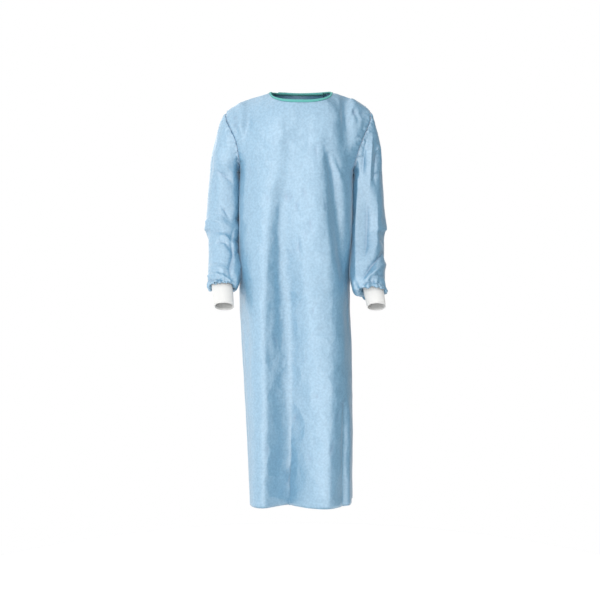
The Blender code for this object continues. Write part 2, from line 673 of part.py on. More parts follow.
def make_sleeve(side):
    """One sleeve, a tube from the armhole to the gathers at the cuff."""
    armhole, rows, cuff, creases, name = (
        (LEFT_ARMHOLE, LEFT_SLEEVE, LEFT_CUFF, LEFT_CREASES, "sleeve_left")
        if side > 0
        else (RIGHT_ARMHOLE, RIGHT_SLEEVE, RIGHT_CUFF, RIGHT_CREASES, "sleeve_right")
    )
    rows = rows + seam_rows(cuff)
    front, back = (armhole_edge(armhole, side, face) for face in ("front", "back"))
    if side > 0:
        ring = np.concatenate([front, back[-2:0:-1]])
    else:
        ring = np.concatenate([front[::-1], back[1:-1]])
    count = len(ring)
    angles = 2 * math.pi * np.arange(count) / count
    outward = np.degrees(angles if side > 0 else math.pi - angles) % 360
    under = 0.5 - 0.5 * np.cos(np.radians(outward))
    first = sleeve_ring(rows, side, 0, angles)
    second = sleeve_ring(rows, side, 0.3, angles)
    reach = np.linalg.norm(first - ring, axis=-1, keepdims=True)
    push = (CAP_PUSH + UNDERARM_PUSH * under**3)[:, None] * np.array([side, 0.0, 0.0])
    leaving = unit(unit(first - ring) + push)
    arriving = unit(first - second)
    pulls = ring + CAP_PULL * reach * leaving, first + CAP_PULL * reach * arriving
    down = np.linspace(0, 1, CAP_ROWS + 1)[:, None]
    cap = bezier(ring, pulls[0], pulls[1], first, down)
    last_row = len(rows) - 1
    places = np.arange(SLEEVE_STEP, last_row + SLEEVE_STEP / 2, SLEEVE_STEP)
    lower = np.stack([sleeve_ring(rows, side, row, angles) for row in places])
    piece = Piece(name, np.concatenate([cap, lower]), round_column=True)
    for index, row in enumerate(places):
        height = crease_height(creases, row, outward) + gather_height(row, last_row, count)
        piece.mid[CAP_ROWS + 1 + index] += piece.out[CAP_ROWS + 1 + index] * height[:, None]
    grow = smooth(np.arange(len(piece.mid)) / CLEARANCE_ROWS)[:, None]
    piece.mid[1:] = clear_of_body(piece.mid[1:], side, grow[1:])
    piece.aim()
    return piece


def make_cuff(side):
    """One rib knit cuff, with its ribs raised on the outside and a plain inside."""
    rows, name = (LEFT_CUFF, "cuff_left") if side > 0 else (RIGHT_CUFF, "cuff_right")
    angles = 2 * math.pi * np.arange(2 * CUFF_RIBS) / (2 * CUFF_RIBS)
    places = np.linspace(0, 1, CUFF_ROWS + 1)
    return Piece(
        name, np.stack([sleeve_ring(rows, side, row, angles) for row in places]), round_column=True
    )


def wall_object(piece, outer, inner, material):
    """A closed wall between two grids of points, as an object."""
    rows, columns = piece.mid.shape[:2]
    around = columns + 1 if piece.round_column else columns
    bm = bmesh.new()
    bmesh.ops.create_grid(bm, x_segments=around - 1, y_segments=rows - 1, size=0.5)
    mark = bm.verts.layers.int.new("grid_place")
    for vert in bm.verts:
        column = round((vert.co.x + 0.5) * (around - 1)) % columns
        row = round((0.5 - vert.co.y) * (rows - 1))
        vert[mark] = row * columns + column
        vert.co = outer[row, column]
    if piece.round_column:
        bmesh.ops.remove_doubles(bm, verts=bm.verts, dist=1e-7)
    skin = bmesh.ops.extrude_face_region(bm, geom=bm.faces[:], use_keep_orig=True)
    flat = inner.reshape(-1, 3)
    for item in skin["geom"]:
        if isinstance(item, bmesh.types.BMVert):
            item.co = flat[item[mark]]
    return finish_object(piece.name, bm, material)


def finish_object(name, bm, material):
    """Turns a bmesh into a smooth-shaded object in the gown's collection.

    Its faces are cut across their shorter diagonals, so the two sides of a seam match.
    """
    bmesh.ops.triangulate(bm, faces=bm.faces[:], quad_method="SHORT_EDGE")
    bmesh.ops.recalc_face_normals(bm, faces=bm.faces[:])
    mesh = bpy.data.meshes.new(name)
    bm.to_mesh(mesh)
    bm.free()
    mesh.shade_smooth()
    mesh.set_sharp_from_angle(angle=math.radians(SHARP_ANGLE))
    mesh.materials.append(material)
    made = bpy.data.objects.new(name, mesh)
    bpy.data.collections["surgical_gown"].objects.link(made)
    return made


def cloth_object(piece, material):
    """A cloth piece with its wall half to each side of its grid."""
    half = piece.out * WALL / 2
    return wall_object(piece, piece.mid + half, piece.mid - half, material)


def cuff_object(piece, material):
    """A cuff with every other column of its outside raised into a rib."""
    rib = RIB_HEIGHT * (np.arange(piece.mid.shape[1]) % 2)
    outer = piece.mid + piece.out * (CUFF_WALL / 2 + rib)[None, :, None]
    return wall_object(piece, outer, piece.mid - piece.out * CUFF_WALL / 2, material)


def neck_path(front, back_left, back_right):
    """The neck edge from the left back's free edge round the front to the right back's.

    Each stop is the edge's point, the wall's direction, the way down into the cloth and the
    way that the fold's crown points. At a shoulder seam the strip turns in three stops.
    """
    beyond = HALF_NECK_COLUMNS + LAP_COLUMNS
    last_front = SHOULDER_COLUMNS + 2 * HALF_NECK_COLUMNS
    stops = []

    def add(piece, column):
        point, below = piece.mid[0, column], piece.mid[1, column]
        stops.append((point, piece.out[0, column], unit(below - point), unit(below - point)))

    def add_corner(backs, fronts, towards_shoulder):
        (back, back_column), (_, front_column) = backs, fronts
        point = (front.mid[0, front_column] + back.mid[0, back_column]) / 2
        seam = unit(front.mid[0, front_column + towards_shoulder] - front.mid[0, front_column])
        ways = [unit(piece.mid[1, c] - piece.mid[0, c]) for piece, c in (backs, fronts)]
        if towards_shoulder > 0:
            ways = ways[::-1]
        for way in (ways[0], seam, ways[1]):
            stops.append((point, front.out[0, front_column], way, seam))

    for column in range(beyond):
        add(back_left, column)
    add_corner((back_left, beyond), (front, SHOULDER_COLUMNS), -1)
    for column in range(SHOULDER_COLUMNS + 1, last_front):
        add(front, column)
    add_corner((back_right, SHOULDER_COLUMNS), (front, last_front), 1)
    for column in range(SHOULDER_COLUMNS + 1, SHOULDER_COLUMNS + 1 + beyond):
        add(back_right, column)
    return [np.array(values) for values in zip(*stops)]


def binding_object(front, back_left, back_right, material):
    """The neck binding: a strip folded over the neck edge, a U in section."""
    points, out, inward, above = neck_path(front, back_left, back_right)
    inner = WALL / 2 + BINDING_GAP
    outer = inner + BINDING_THICKNESS
    top = -SEAM_GAP
    crown = top - BINDING_THICKNESS
    profile = [
        (outer, BINDING_WIDTH),
        (outer, crown + CROWN_DROP),
        (outer - CROWN_INSET, crown),
        (CROWN_INSET - outer, crown),
        (-outer, crown + CROWN_DROP),
        (-outer, BINDING_WIDTH),
        (-inner, BINDING_WIDTH),
        (-inner, top),
        (inner, top),
        (inner, BINDING_WIDTH),
    ]
    rings = [points + out * a + (inward if b > 0 else above) * b for a, b in profile]
    rings = np.stack(rings, axis=1)
    stops, sides = rings.shape[:2]
    bm = bmesh.new()
    bmesh.ops.create_grid(bm, x_segments=sides, y_segments=stops - 1, size=0.5)
    for vert in bm.verts:
        side = round((vert.co.x + 0.5) * sides) % sides
        vert.co = rings[round((vert.co.y + 0.5) * (stops - 1)), side]
    bmesh.ops.remove_doubles(bm, verts=bm.verts, dist=1e-7)
    rims = [edge for edge in bm.edges if edge.is_boundary]
    bmesh.ops.holes_fill(bm, edges=rims, sides=0)
    return finish_object("neck_binding", bm, material)


def pad_objects(back_right, material):
    """The hook-and-loop pads that hold the back closed, between the two back pieces."""
    centre = SHOULDER_COLUMNS + HALF_NECK_COLUMNS
    rows = slice(PAD_FIRST_ROW, PAD_LAST_ROW + 1)
    columns = slice(centre - PAD_HALF_COLUMNS, centre + PAD_HALF_COLUMNS + 1)
    thickness = (LAP_LIFT - WALL - 3 * SEAM_GAP) / 2
    for order, name in enumerate(("fastening_loops", "fastening_hooks")):
        inner = WALL / 2 + SEAM_GAP + order * (thickness + SEAM_GAP)
        pad = Piece(name, back_right.mid[rows, columns])
        out = back_right.out[rows, columns]
        wall_object(pad, pad.mid + out * (inner + thickness), pad.mid + out * inner, material)


def principled(name, look):
    """A plain Principled material."""
    colour, roughness = look
    made = bpy.data.materials.new(name)
    made.use_nodes = True
    shader = made.node_tree.nodes["Principled BSDF"]
    shader.inputs["Base Color"].default_value = colour
    shader.inputs["Roughness"].default_value = roughness
    shader.inputs["Metallic"].default_value = 0.0
    return made


def clear_scene():
    """Removes whatever the scene holds at the start."""
    for obj in list(bpy.data.objects):
        bpy.data.objects.remove(obj, do_unlink=True)


def build():
    """Makes every piece of the gown."""
    clear_scene()
    bpy.context.scene.collection.children.link(bpy.data.collections.new("surgical_gown"))
    front, back_left, back_right = make_front(), make_back(1), make_back(-1)
    sleeves = [make_sleeve(1), make_sleeve(-1)]
    body = [front, back_left, back_right]
    agree(body)
    columns = np.arange(front.mid.shape[1])
    add_folds(front, np.minimum(columns, columns[::-1]))
    add_folds(back_right, np.arange(back_right.mid.shape[1]))
    add_folds(back_left, np.arange(back_left.mid.shape[1])[::-1])
    for piece in body:
        piece.aim()
    agree(body)
    lift_lap(back_left)
    for piece in body:
        piece.aim()
    pieces = body + sleeves
    part_seams(pieces, agree(pieces, mitre=True))

    cloth = principled("gown_cloth", CLOTH_BLUE)
    teal = principled("binding_cloth", BINDING_TEAL)
    knit = principled("rib_knit", KNIT_WHITE)
    pads = principled("fastening", PAD_WHITE)
    for piece in pieces:
        cloth_object(piece, cloth)
    for side in (1, -1):
        cuff_object(make_cuff(side), knit)
    binding_object(front, back_left, back_right, teal)
    pad_objects(back_right, pads)


build()
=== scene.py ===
import math
from collections import namedtuple

import bmesh
import bpy
import numpy as np
from mathutils import Euler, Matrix, Vector, kdtree, noise


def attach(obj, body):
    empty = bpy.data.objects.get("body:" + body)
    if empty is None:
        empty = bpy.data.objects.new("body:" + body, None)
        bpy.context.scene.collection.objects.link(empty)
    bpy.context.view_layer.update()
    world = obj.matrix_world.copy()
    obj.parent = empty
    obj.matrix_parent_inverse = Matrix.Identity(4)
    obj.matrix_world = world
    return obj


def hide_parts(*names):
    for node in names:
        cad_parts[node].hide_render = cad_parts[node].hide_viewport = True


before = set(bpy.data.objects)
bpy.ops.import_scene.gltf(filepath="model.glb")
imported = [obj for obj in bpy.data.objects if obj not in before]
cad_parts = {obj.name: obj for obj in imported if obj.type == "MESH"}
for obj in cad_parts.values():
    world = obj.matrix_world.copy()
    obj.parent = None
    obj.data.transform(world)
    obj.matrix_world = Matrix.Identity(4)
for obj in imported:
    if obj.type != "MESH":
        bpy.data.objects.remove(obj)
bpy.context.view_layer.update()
SCENE = bpy.context.scene

# The cloth pieces, the body's before the sleeves: the way their outer side faces, and the rows of
# their CAD grids
Piece = namedtuple("Piece", "node way rows")
PIECES = (
    Piece("front", (0, -1, 0), 29),
    Piece("back_left", (0, 1, 0), 29),
    Piece("back_right", (0, 1, 0), 29),
    Piece("sleeve_left", (1, 0, 0), 27),
    Piece("sleeve_right", (-1, 0, 0), 27),
)
BODY_COUNT = 3
SLEEVE_LEFT = 3
SLEEVE_RIGHT = 4

# The cloth's thickness, and to which side of a surface a shell grows
SHELL = 0.0007
INWARD = -1.0
EVENLY = 0.0

# Telling a CAD wall's rims from its skins by their shortest edges
RIM_AT_ARMHOLE = 0.0034
RIM_BELOW = 0.0019
ARMHOLE_FOOT = -0.28
HEM_BAND = 0.02
SEAM_MERGE = 0.0009
WELD = 1e-5

# How near a grid number has to be to the one that is looked for
GRID_CLOSE = 0.01

# Seams. Each wave of the puckers has its count to a step, its turn and its share of the height.
SEAM_GROOVE = 0.0024
SEAM_REACH = 0.0050
PUCKER = 0.0015
PUCKER_START = 0.006
PUCKER_REACH = 0.015
PUCKER_STEP = 0.021
PUCKER_WAVES = ((1.0, 0.0, 1.0), (0.57, 1.3, 0.6), (1.71, 0.4, 0.4))

# Neck binding, as offsets out of the cloth and down from its edge
BINDING_PROFILE = (
    (0.0009, 0.0088),
    (0.0012, 0.0080),
    (0.0013, 0.0042),
    (0.0011, 0.0010),
    (0.0004, -0.0004),
    (-0.0010, -0.0004),
    (-0.0018, 0.0010),
    (-0.0019, 0.0036),
    (-0.0015, 0.0072),
)
BINDING_SHELL = 0.0004

# Cuffs, as centre, half width, half depth and pitch at the sleeve and at the wrist
Cuff = namedtuple("Cuff", "out y z wide deep pitch")
CUFFS = {
    "cuff_right": (
        -1,
        Cuff(0.2470, -0.0600, -0.5890, 0.0320, 0.0305, 24),
        Cuff(0.2350, -0.1040, -0.6740, 0.0285, 0.0275, 25),
    ),
    "cuff_left": (
        1,
        Cuff(0.2190, -0.0643, -0.5970, 0.0310, 0.0295, 24),
        Cuff(0.2310, -0.1040, -0.6750, 0.0270, 0.0265, 25),
    ),
}
CUFF_SQUARE = 2.3
CUFF_COLUMNS = 256
CUFF_RIBS = 64
CUFF_ROWS = 12
CUFF_SHELL = 0.0014
CUFF_BULGE = 0.0006
RIB_DEPTH = 0.0005

# How far the sleeves' inner sides lean on the body, between which heights, and how far a face
# has to be turned inward to take part
LEAN = 0.0065
LEAN_TOP = -0.185
LEAN_FOOT = -0.620
LEAN_EASE = 0.045
LEAN_TURN = 0.1
LEAN_TURN_EASE = 0.5

# Gathers where a sleeve meets its cuff: the grid rows over which they rise and fade, and their
# waves round the sleeve, with count, turn and share of the height
GATHER_ROWS = (17.5, 21.5, 22.5, 25.5)
GATHER_HEIGHT = 0.0058
GATHER_WAVES = ((9, 0.4, 0.50), (14, 2.1, 0.40), (5, 4.0, 0.35))

# The flat cut of each piece of cloth, how it is held and what it hangs from
Sheet = namedtuple("Sheet", "width length area held hangs_from")

# The camera, which stands level, and the floor
CAMERA_PLACE = (-0.003, -3.2, -0.6525)
CAMERA_LENS = 60.76
CAMERA_SENSOR = 36.0
FLOOR_Z = -1.72
FLOOR_RADIUS = 1.6
FLOOR_CORNERS = 64

# The studio's dome: where its bright side lies, between which turns towards that side it
# brightens, and how strong it is at either end
BRIGHT_SIDE = (-0.69, -0.69, 0.22)
DOME = (-0.40, 0.12, 0.27, 1.66)

Light = namedtuple("Light", "name place target size power")
LIGHTS = (
    Light("bounce", (0.0, -1.9, -1.62), (0.0, 0.0, -0.72), (2.2, 1.2), 9),
    Light("back", (-0.9, 3.2, 0.8), (0.0, 0.0, -0.6), (2.6, 2.6), 40),
    Light("key", (-1.5, -3.1, 0.7), (0.0, 0.0, -0.6), (2.6, 2.6), 22),
)

# Colours, in linear light
WHITE = (1.0, 1.0, 1.0)
FLOOR_WHITE = (0.96, 0.96, 0.96)
CLOTH_BLUE = (0.069, 0.215, 0.355)
CLOTH_DEEP = (0.046, 0.178, 0.296)
CLOTH_PALE = (0.092, 0.247, 0.378)
# The painted shade laid on the cloth along its seams and in its creases
CLOTH_SHADOW = (0.018, 0.100, 0.215)
KNIT_WHITE = (0.58, 0.58, 0.57)
KNIT_DEEP = (0.53, 0.53, 0.52)
KNIT_PALE = (0.62, 0.62, 0.61)
BINDING_DEEP = (0.05, 0.26, 0.24)
BINDING_PALE = (0.10, 0.37, 0.34)
PAD_DEEP = (0.62, 0.64, 0.66)
PAD_PALE = (0.84, 0.85, 0.86)

# The nonwoven: how painted shade darkens its seams and creases, its contrast, how far its facets
# wander, and how high its fibres, facets and streaks stand beside its blotches
SEAM_SHADOW = (0.0004, 0.0024, 0.0, 1.0)
CREASE_SHADOW = 0.75
BLOTCH_CONTRAST = (0.32, 0.68, 0.0, 1.0)
FACET_WANDER = (0.09, 0.09, 0.09)
FIBRE_HEIGHT = 0.35
FACET_HEIGHT = 16.0
STREAK_HEIGHT = 7.0
STREAK_STRETCH = (1.0, 1.0, 0.3)

# The photograph's unit in metres, at the camera's target and near the gown's faces, and the
# picture's middle in that unit
UNIT = 0.003164
NEAR_UNIT = 0.00304
PICTURE_MIDDLE = (301.0, 299.5)

# The views of the gown's sides: the way out of each, and how far the cloth has to be turned
# towards it to take that view's folds
View = namedtuple("View", "way turn")
VIEWS = {
    "front": View((0, -1, 0), 0.05),
    "back": View((0, 1, 0), 0.05),
    "left": View((1, 0, 0), 0.5),
    "right": View((-1, 0, 0), 0.5),
}
TURN_EASE = 0.45

# How steeply the sides of folds and creases fall, how near to an armhole they fade out, and the
# depth in millimetres at which the painted shade of each is darkest
BODY_FALL = 2.0
SLEEVE_FALL = 1.15
CREASE_FALL = 1.0
ARMHOLE_FADE = 0.016
CREASE_DEPTH_AT_FULL_SHADE = 3.0
SLEEVE_FOLD_DEPTH_AT_FULL_SHADE = 9.0

MILLIMETRE = 0.001


def fold(width, height, start, middle, end):
    """A short fold of one width, at its height in the middle and flat at its ends."""
    return [(*start, width, width, 0), (*middle, width, width, height), (*end, width, width, 0)]


# Folds and creases, as paths over a view of the gown: across and down in the photograph's units,
# how far each spreads to either side of its path, and how many millimetres it stands out
FRONT_FOLDS = (
    # The long fold on the wearer's right: its crest, and the trough beside it
    [(280, 150, 14, 6, 0), (272, 192, 14, 6, 4), (267, 225, 16, 5, 7), (265, 281, 18, 5, 8),
     (263, 330, 16, 5, 8), (263, 400, 12, 6, 8), (264, 460, 12, 6, 7), (262, 510, 12, 6, 6)],
    [(289, 138, 4, 8, -1), (289, 172, 5, 12, -3), (284, 192, 5, 14, -6), (281, 215, 5, 16, -8),
     (281, 281, 6, 18, -9), (283, 330, 7, 16, -7), (283, 400, 8, 10, -5), (281, 512, 8, 10, -4)],
    [(291, 300, 10, 16, 0), (291, 350, 10, 16, 8), (292, 425, 10, 18, 16), (292, 512, 10, 18, 18)],
    # The fold below the wearer's left shoulder
    [(320, 138, 12, 3, 0), (322, 156, 14, 3, 5), (325, 183, 16, 4, 7), (325, 215, 18, 4, 8),
     (328, 248, 18, 5, 7), (334, 270, 16, 5, 5), (341, 300, 14, 4, 3), (343, 350, 12, 3, 2),
     (342, 390, 12, 4, 0)],
    [(328, 150, 3, 5, 0), (333, 170, 3, 6, -6), (335, 183, 4, 6, -7), (338, 215, 4, 6, -8),
     (341, 248, 5, 6, -7), (347, 275, 5, 6, -4)],
    # The diagonal ridge beside it
    [(327, 149, 3, 2.5, 0), (334, 164, 3.5, 2.5, 3.5), (341, 178, 4, 3, 3), (346, 190, 4, 4, 0)],
    [(333, 148, 2, 3, 0), (339, 166, 2.5, 3, -3), (347, 182, 3, 3, 0)],
    # The hanging folds of the shoulders
    [(338, 98, 9, 3, 4), (338, 120, 9, 3, 8), (338, 139, 8, 4, 4), (336, 152, 8, 4, 0)],
    [(347, 98, 4, 3, -4), (347, 120, 4, 3, -8), (350, 139, 4, 5, -4), (350, 152, 4, 5, 0)],
    [(352, 100, 2.5, 6, 5), (353, 112, 2.5, 6, 5), (353, 126, 3, 6, 0)],
    [(242, 106, 4, 3, 4), (241, 125, 4, 3, 7), (241, 145, 4, 4, 0)],
    [(248, 104, 3, 9, -3), (247, 125, 3, 9, -6), (246, 148, 4, 8, 0)],
    [(229, 113, 2, 2, 0), (233, 117, 2, 2, 4), (238, 125, 2, 2, 3), (240, 132, 2, 2, 0)],
    [(231, 109, 2, 2, 0), (236, 115, 2, 2, -5), (240, 124, 2, 2, -2)],
    [(231, 121, 2, 2, 0), (236, 129, 2, 2, -5), (239, 137, 2, 2, -2)],
    fold(2, -5, (349, 124), (354, 111), (359, 123)),
    fold(2, 4, (357, 112), (361, 120), (360, 132)),
    # The skirt on the wearer's left: a trough that widens down to the hem
    [(333, 385, 10, 6, 0), (330, 430, 12, 6, 4), (328, 480, 12, 6, 6), (328, 512, 12, 6, 6)],
    [(347, 385, 5, 4, 0), (346, 430, 7, 3, -4), (345, 480, 8, 3, -6), (345, 512, 8, 3, -6)],
    # The outer edge on the wearer's right
    [(242, 290, 2, 3, 0), (245, 320, 3, 3, -3), (248, 350, 3, 4, -3), (249, 430, 3, 4, -2),
     (249, 500, 3, 4, -1)],
    fold(3, 1.5, (252, 345), (252, 370), (251, 415)),
    # The edge strip on the wearer's left, with the fold line that sets it off
    [(348.8, 394, 1.8, 1.6, 0), (349, 420, 2.0, 1.8, 3.5), (349, 512, 2, 2, 3.5)],
    [(345.2, 392, 1.6, 1.6, 0), (345, 412, 1.8, 1.8, -4), (344.5, 512, 1.8, 1.8, -4)],
)
FRONT_CREASES = (
    [(299, 196, 1.8, 1.8, 0), (296, 206, 1.6, 1.6, -3), (297, 216, 1.8, 1.8, 0)],
    fold(1.6, -3.2, (312, 214), (310, 224), (313, 236)),
    fold(1.6, -2.6, (300, 236), (298, 246), (301, 258)),
    fold(1.6, -2.6, (322, 196), (325, 206), (324, 218)),
    fold(1.6, -2.6, (262, 190), (268, 198), (270, 208)),
    fold(1.6, -2.6, (318, 300), (313, 309), (314, 320)),
    fold(1.6, -3, (270, 330), (276, 341), (279, 353)),
    fold(1.6, -2.8, (312, 392), (318, 398), (326, 399)),
    fold(1.6, -2.8, (306, 448), (311, 457), (311, 468)),
    fold(1.6, -2.8, (262, 440), (267, 448), (266, 460)),
    [(282, 188, 2.4, 2.4, 0), (286, 197, 1.9, 2.4, -2.9), (288, 204, 2.4, 2.4, 0)],
    [(294, 189, 2.4, 2.4, 0), (291, 197, 1.9, 1.9, -2.5), (288, 204, 2.4, 2.4, 0)],
    [(303, 184, 1.8, 2.4, 0), (304, 192, 1.8, 2.4, -2.5), (306, 203, 1.8, 2.4, -0.9),
     (307, 221, 2.4, 2.4, 0)],
    fold(1.8, -2.3, (302, 226), (305, 234), (307, 243)),
    fold(1.8, -2.3, (315, 140), (316, 150), (317, 170)),
    fold(1.8, -1.3, (309, 128), (308, 146), (309, 158)),
    [(250, 160, 1.8, 2.4, 0), (250, 170, 1.8, 2.4, -2.3), (251, 180, 1.8, 2.4, 0)],
    [(281, 147, 2.4, 2.4, 0), (285, 143, 1.8, 1.8, -2.3), (289, 139, 1.8, 1.8, 0)],
    fold(1.9, -2, (279, 250), (290, 252), (302, 250)),
    fold(1.9, -2.3, (302, 262), (308, 256), (314, 250)),
    fold(1.8, -2.5, (298, 362), (304, 360), (311, 356)),
    fold(1.8, -2.9, (290, 424), (297, 418), (303, 409)),
    fold(1.9, -3.6, (334, 440), (331, 449), (328, 458)),
    fold(1.9, -2.5, (288, 500), (293, 489), (300, 477)),
    fold(1.9, -2.3, (282, 492), (287, 478), (291, 464)),
    fold(1.8, -2.9, (337, 401), (343, 404), (349, 408)),
    fold(1.8, -2.5, (334, 428), (338, 416), (341, 404)),
    fold(1.8, -2.5, (342, 255), (345, 262), (350, 268)),
    fold(1.8, -2.9, (231, 114), (235, 118), (239, 125)),
    fold(1.8, -2.9, (232, 121), (236, 126), (239, 132)),
    fold(1.8, -3.6, (352, 119), (354, 112), (357, 119)),
    fold(1.8, -2.5, (360, 125), (361, 114), (364, 108)),
    fold(1.8, -2.3, (355, 140), (359, 136), (364, 134)),
)
FRONT_SLEEVE_FOLDS = (
    # The wearer's right sleeve
    [(209, 168, 2.7, 2.7, 0), (217, 171, 2.7, 2.7, -6.1), (226, 177, 2.7, 3.6, -6.8),
     (235, 186, 2.7, 2.7, 0)],
    [(212, 162, 3.6, 3.6, 0), (222, 164, 3.6, 3.6, 5.7), (232, 172, 3.6, 3.6, 3.8)],
    [(213, 172, 1.8, 2.7, 0), (214, 185, 1.8, 2.7, -5.7), (213, 205, 1.8, 2.7, 0)],
    fold(1.8, -5.3, (219, 203), (225, 211), (231, 222)),
    [(206, 214, 1.8, 2.7, 0), (214, 212, 1.8, 2.7, -3.4), (222, 215, 1.8, 2.7, -3),
     (229, 222, 1.8, 2.7, 0)],
    [(205, 222, 3.6, 3.6, 5.7), (216, 221, 3.6, 3.6, 8.4), (229, 226, 3.6, 3.6, 3.8)],
    [(206, 232, 2.7, 2.7, -4.6), (218, 231, 2.7, 2.7, -5.3), (231, 233, 2.7, 2.7, 0)],
    [(215, 247, 1.8, 1.8, 0), (219, 241, 1.8, 1.8, -5.7), (225, 242, 1.8, 1.8, -5.7),
     (233, 252, 2.7, 2.7, 0)],
    [(217, 236, 2.7, 2.7, 0), (225, 236, 2.7, 2.7, 7.6), (234, 244, 2.7, 2.7, 3.8)],
    [(235, 224, 2, 3, 0), (231, 240, 3, 3, -5), (233, 255, 2, 3, -7.5), (230, 268, 3, 2.5, -7),
     (232, 284, 2, 3, -4)],
    fold(1.8, -3.4, (208, 263), (217, 262), (228, 263)),
    fold(1.8, -3.8, (207, 272), (217, 271), (227, 274)),
    fold(1.8, 4.6, (208, 267), (218, 267), (229, 268)),
    [(208, 276, 2.2, 1.8, 4.7), (218, 274, 2.2, 1.8, 6.1), (226, 277, 2.2, 1.8, 4.1),
     (233, 282, 2.7, 1.8, 5.4)],
    [(207, 281, 1.4, 1.4, -5.4), (216, 279.5, 1.4, 1.4, -6.8), (224, 281.5, 1.4, 1.4, -5.4),
     (230, 285, 1.4, 1.4, -4.1)],
    # The wearer's left sleeve
    [(373, 132, 2.7, 2.7, 0), (371, 150, 3.6, 2.7, 9), (370, 180, 3.6, 2.7, 6.1),
     (368, 200, 3.6, 2.7, 0)],
    [(378, 138, 2.7, 1.8, 0), (376, 158, 2.7, 2.7, -6.8), (374, 175, 2.7, 2.7, -3.8),
     (376, 190, 2.7, 2.7, 0)],
    [(366, 140, 2.7, 1.8, -3.8), (363, 165, 2.7, 2.7, -6.1), (362, 180, 2.7, 2.7, 0)],
    [(358, 180, 2.7, 3.6, 3.8), (357, 210, 2.7, 4.5, 9), (356, 245, 3.6, 4.5, 9),
     (356, 275, 3.6, 4.5, 5.7)],
    [(366, 190, 3.6, 3.6, 0), (367, 215, 3.6, 3.6, -6.8), (366, 245, 3.6, 3.6, -7.6),
     (363, 262, 2.7, 2.7, 0)],
    [(377, 192, 3.6, 3.6, 0), (377, 215, 3.6, 3.6, 6.1), (376, 245, 3.6, 3.6, 7.6),
     (372, 258, 3.6, 3.6, 0)],
    [(373, 226, 1.8, 1.8, 0), (379, 229, 1.8, 1.8, 4.6), (387, 230, 1.8, 1.8, 4.6)],
    [(373, 233, 1.8, 1.8, 0), (380, 234, 1.8, 2.7, -4.6), (387, 235, 1.8, 2.7, -4.6)],
    [(386, 251, 1.8, 1.8, -3.8), (379, 258, 1.8, 1.8, -9), (371, 266, 1.8, 1.8, -9),
     (365, 275, 1.8, 1.8, -6.8),
     (359, 283, 1.8, 1.8, 0)],
    [(387, 262, 2.7, 2.7, 3.8), (379, 268, 2.7, 2.7, 7.6), (371, 275, 2.7, 2.7, 5.7),
     (364, 282, 2.7, 2.7, 0)],
    [(386, 277, 1.8, 1.8, -3.8), (378, 274, 1.8, 1.8, -6.1), (370, 279, 1.8, 1.8, -4.6),
     (362, 286, 1.8, 1.8, 0)],
    fold(1.8, 5.3, (381, 144), (377, 150), (372, 158)),
    fold(1.8, -4.6, (383, 172), (376, 174), (369, 184)),
    [(353, 280, 2.7, 2.7, 3.4), (357, 289, 2.7, 2.7, 6.1), (364, 293, 2.7, 2.7, 2.7)],
    [(364, 284, 1.4, 1.4, -5.4), (371, 281, 1.4, 1.4, -6.8), (378, 283, 1.4, 1.4, -5.4),
     (386, 287, 1.4, 1.4, -4.1)],
)
BACK_FOLDS = (
    # Hanging folds of the two back pieces, seen from behind
    [(262, 170, 10, 6, 0), (258, 230, 12, 8, 6), (262, 320, 14, 9, 7.5), (266, 430, 14, 9, 7.5),
     (264, 512, 12, 8, 7.5)],
    [(274, 180, 5, 12, 0), (273, 240, 6, 12, -4.5), (279, 330, 7, 14, -6), (284, 430, 8, 12, -6),
     (281, 512, 8, 12, -6)],
    [(322, 250, 9, 9, 0), (318, 330, 10, 10, 5.2), (316, 430, 11, 10, 7.5), (318, 512, 11, 10, 7.5)],
    [(303, 280, 6, 8, 0), (299, 350, 7, 9, -3.8), (297, 430, 8, 9, -4.5), (298, 512, 8, 9, -4.5)],
    [(338, 150, 5, 10, 0), (342, 210, 6, 11, 6), (339, 300, 7, 12, 6), (337, 400, 8, 12, 6),
     (340, 512, 8, 10, 6)],
    [(331, 160, 6, 4, 0), (333, 220, 7, 5, -4.5), (329, 300, 8, 6, -4.5), (328, 400, 8, 6, -4.5),
     (330, 512, 8, 6, -4.5)],
    [(262, 104, 6, 5, 2.2), (258, 130, 7, 5, 4.5), (259, 160, 7, 5, 0)],
    [(269, 104, 4, 6, -1.5), (267, 132, 4, 7, -3.6), (266, 160, 5, 7, 0)],
    [(341, 104, 5, 6, 2.2), (344, 128, 5, 7, 4.5), (343, 158, 5, 7, 0)],
    [(333, 106, 5, 4, -1.5), (335, 130, 6, 4, -3.3), (334, 156, 6, 4, 0)],
    # Drag lines from the fastening at the neck
    [(300, 106, 3, 4, 0), (290, 122, 4, 5, 2.4), (276, 140, 4, 6, 0)],
    [(303, 108, 3, 4, 0), (312, 126, 4, 5, 2.7), (324, 144, 4, 6, 0)],
    [(300, 112, 3, 3, 0), (296, 134, 3, 4, -2.4), (290, 160, 4, 5, 0)],
)
BACK_CREASES = (
    [(279, 186, 2.4, 2.4, 0), (284, 196, 1.9, 2.4, -2.9), (287, 205, 2.4, 2.4, 0)],
    [(309, 200, 1.8, 2.4, 0), (311, 212, 1.8, 2.4, -2.9), (309, 226, 2.4, 2.4, 0)],
    [(250, 190, 1.8, 2.4, 0), (254, 199, 1.8, 2.4, -2.9), (262, 204, 2.4, 2.4, 0)],
    [(347, 236, 1.8, 2.4, 0), (342, 246, 1.8, 2.4, -2.9), (333, 250, 2.4, 2.4, 0)],
    fold(1.8, -2.5, (258, 262), (268, 266), (280, 262)),
    fold(1.8, -2.9, (306, 352), (313, 349), (322, 351)),
    fold(1.8, -2.9, (288, 402), (294, 411), (297, 424)),
    fold(1.9, -3.2, (333, 452), (330, 462), (326, 470)),
    fold(1.9, -2.9, (262, 470), (257, 482), (254, 497)),
    fold(1.9, -2.9, (344, 330), (338, 338), (329, 341)),
    fold(1.9, -2.5, (283, 150), (287, 158), (294, 163)),
)
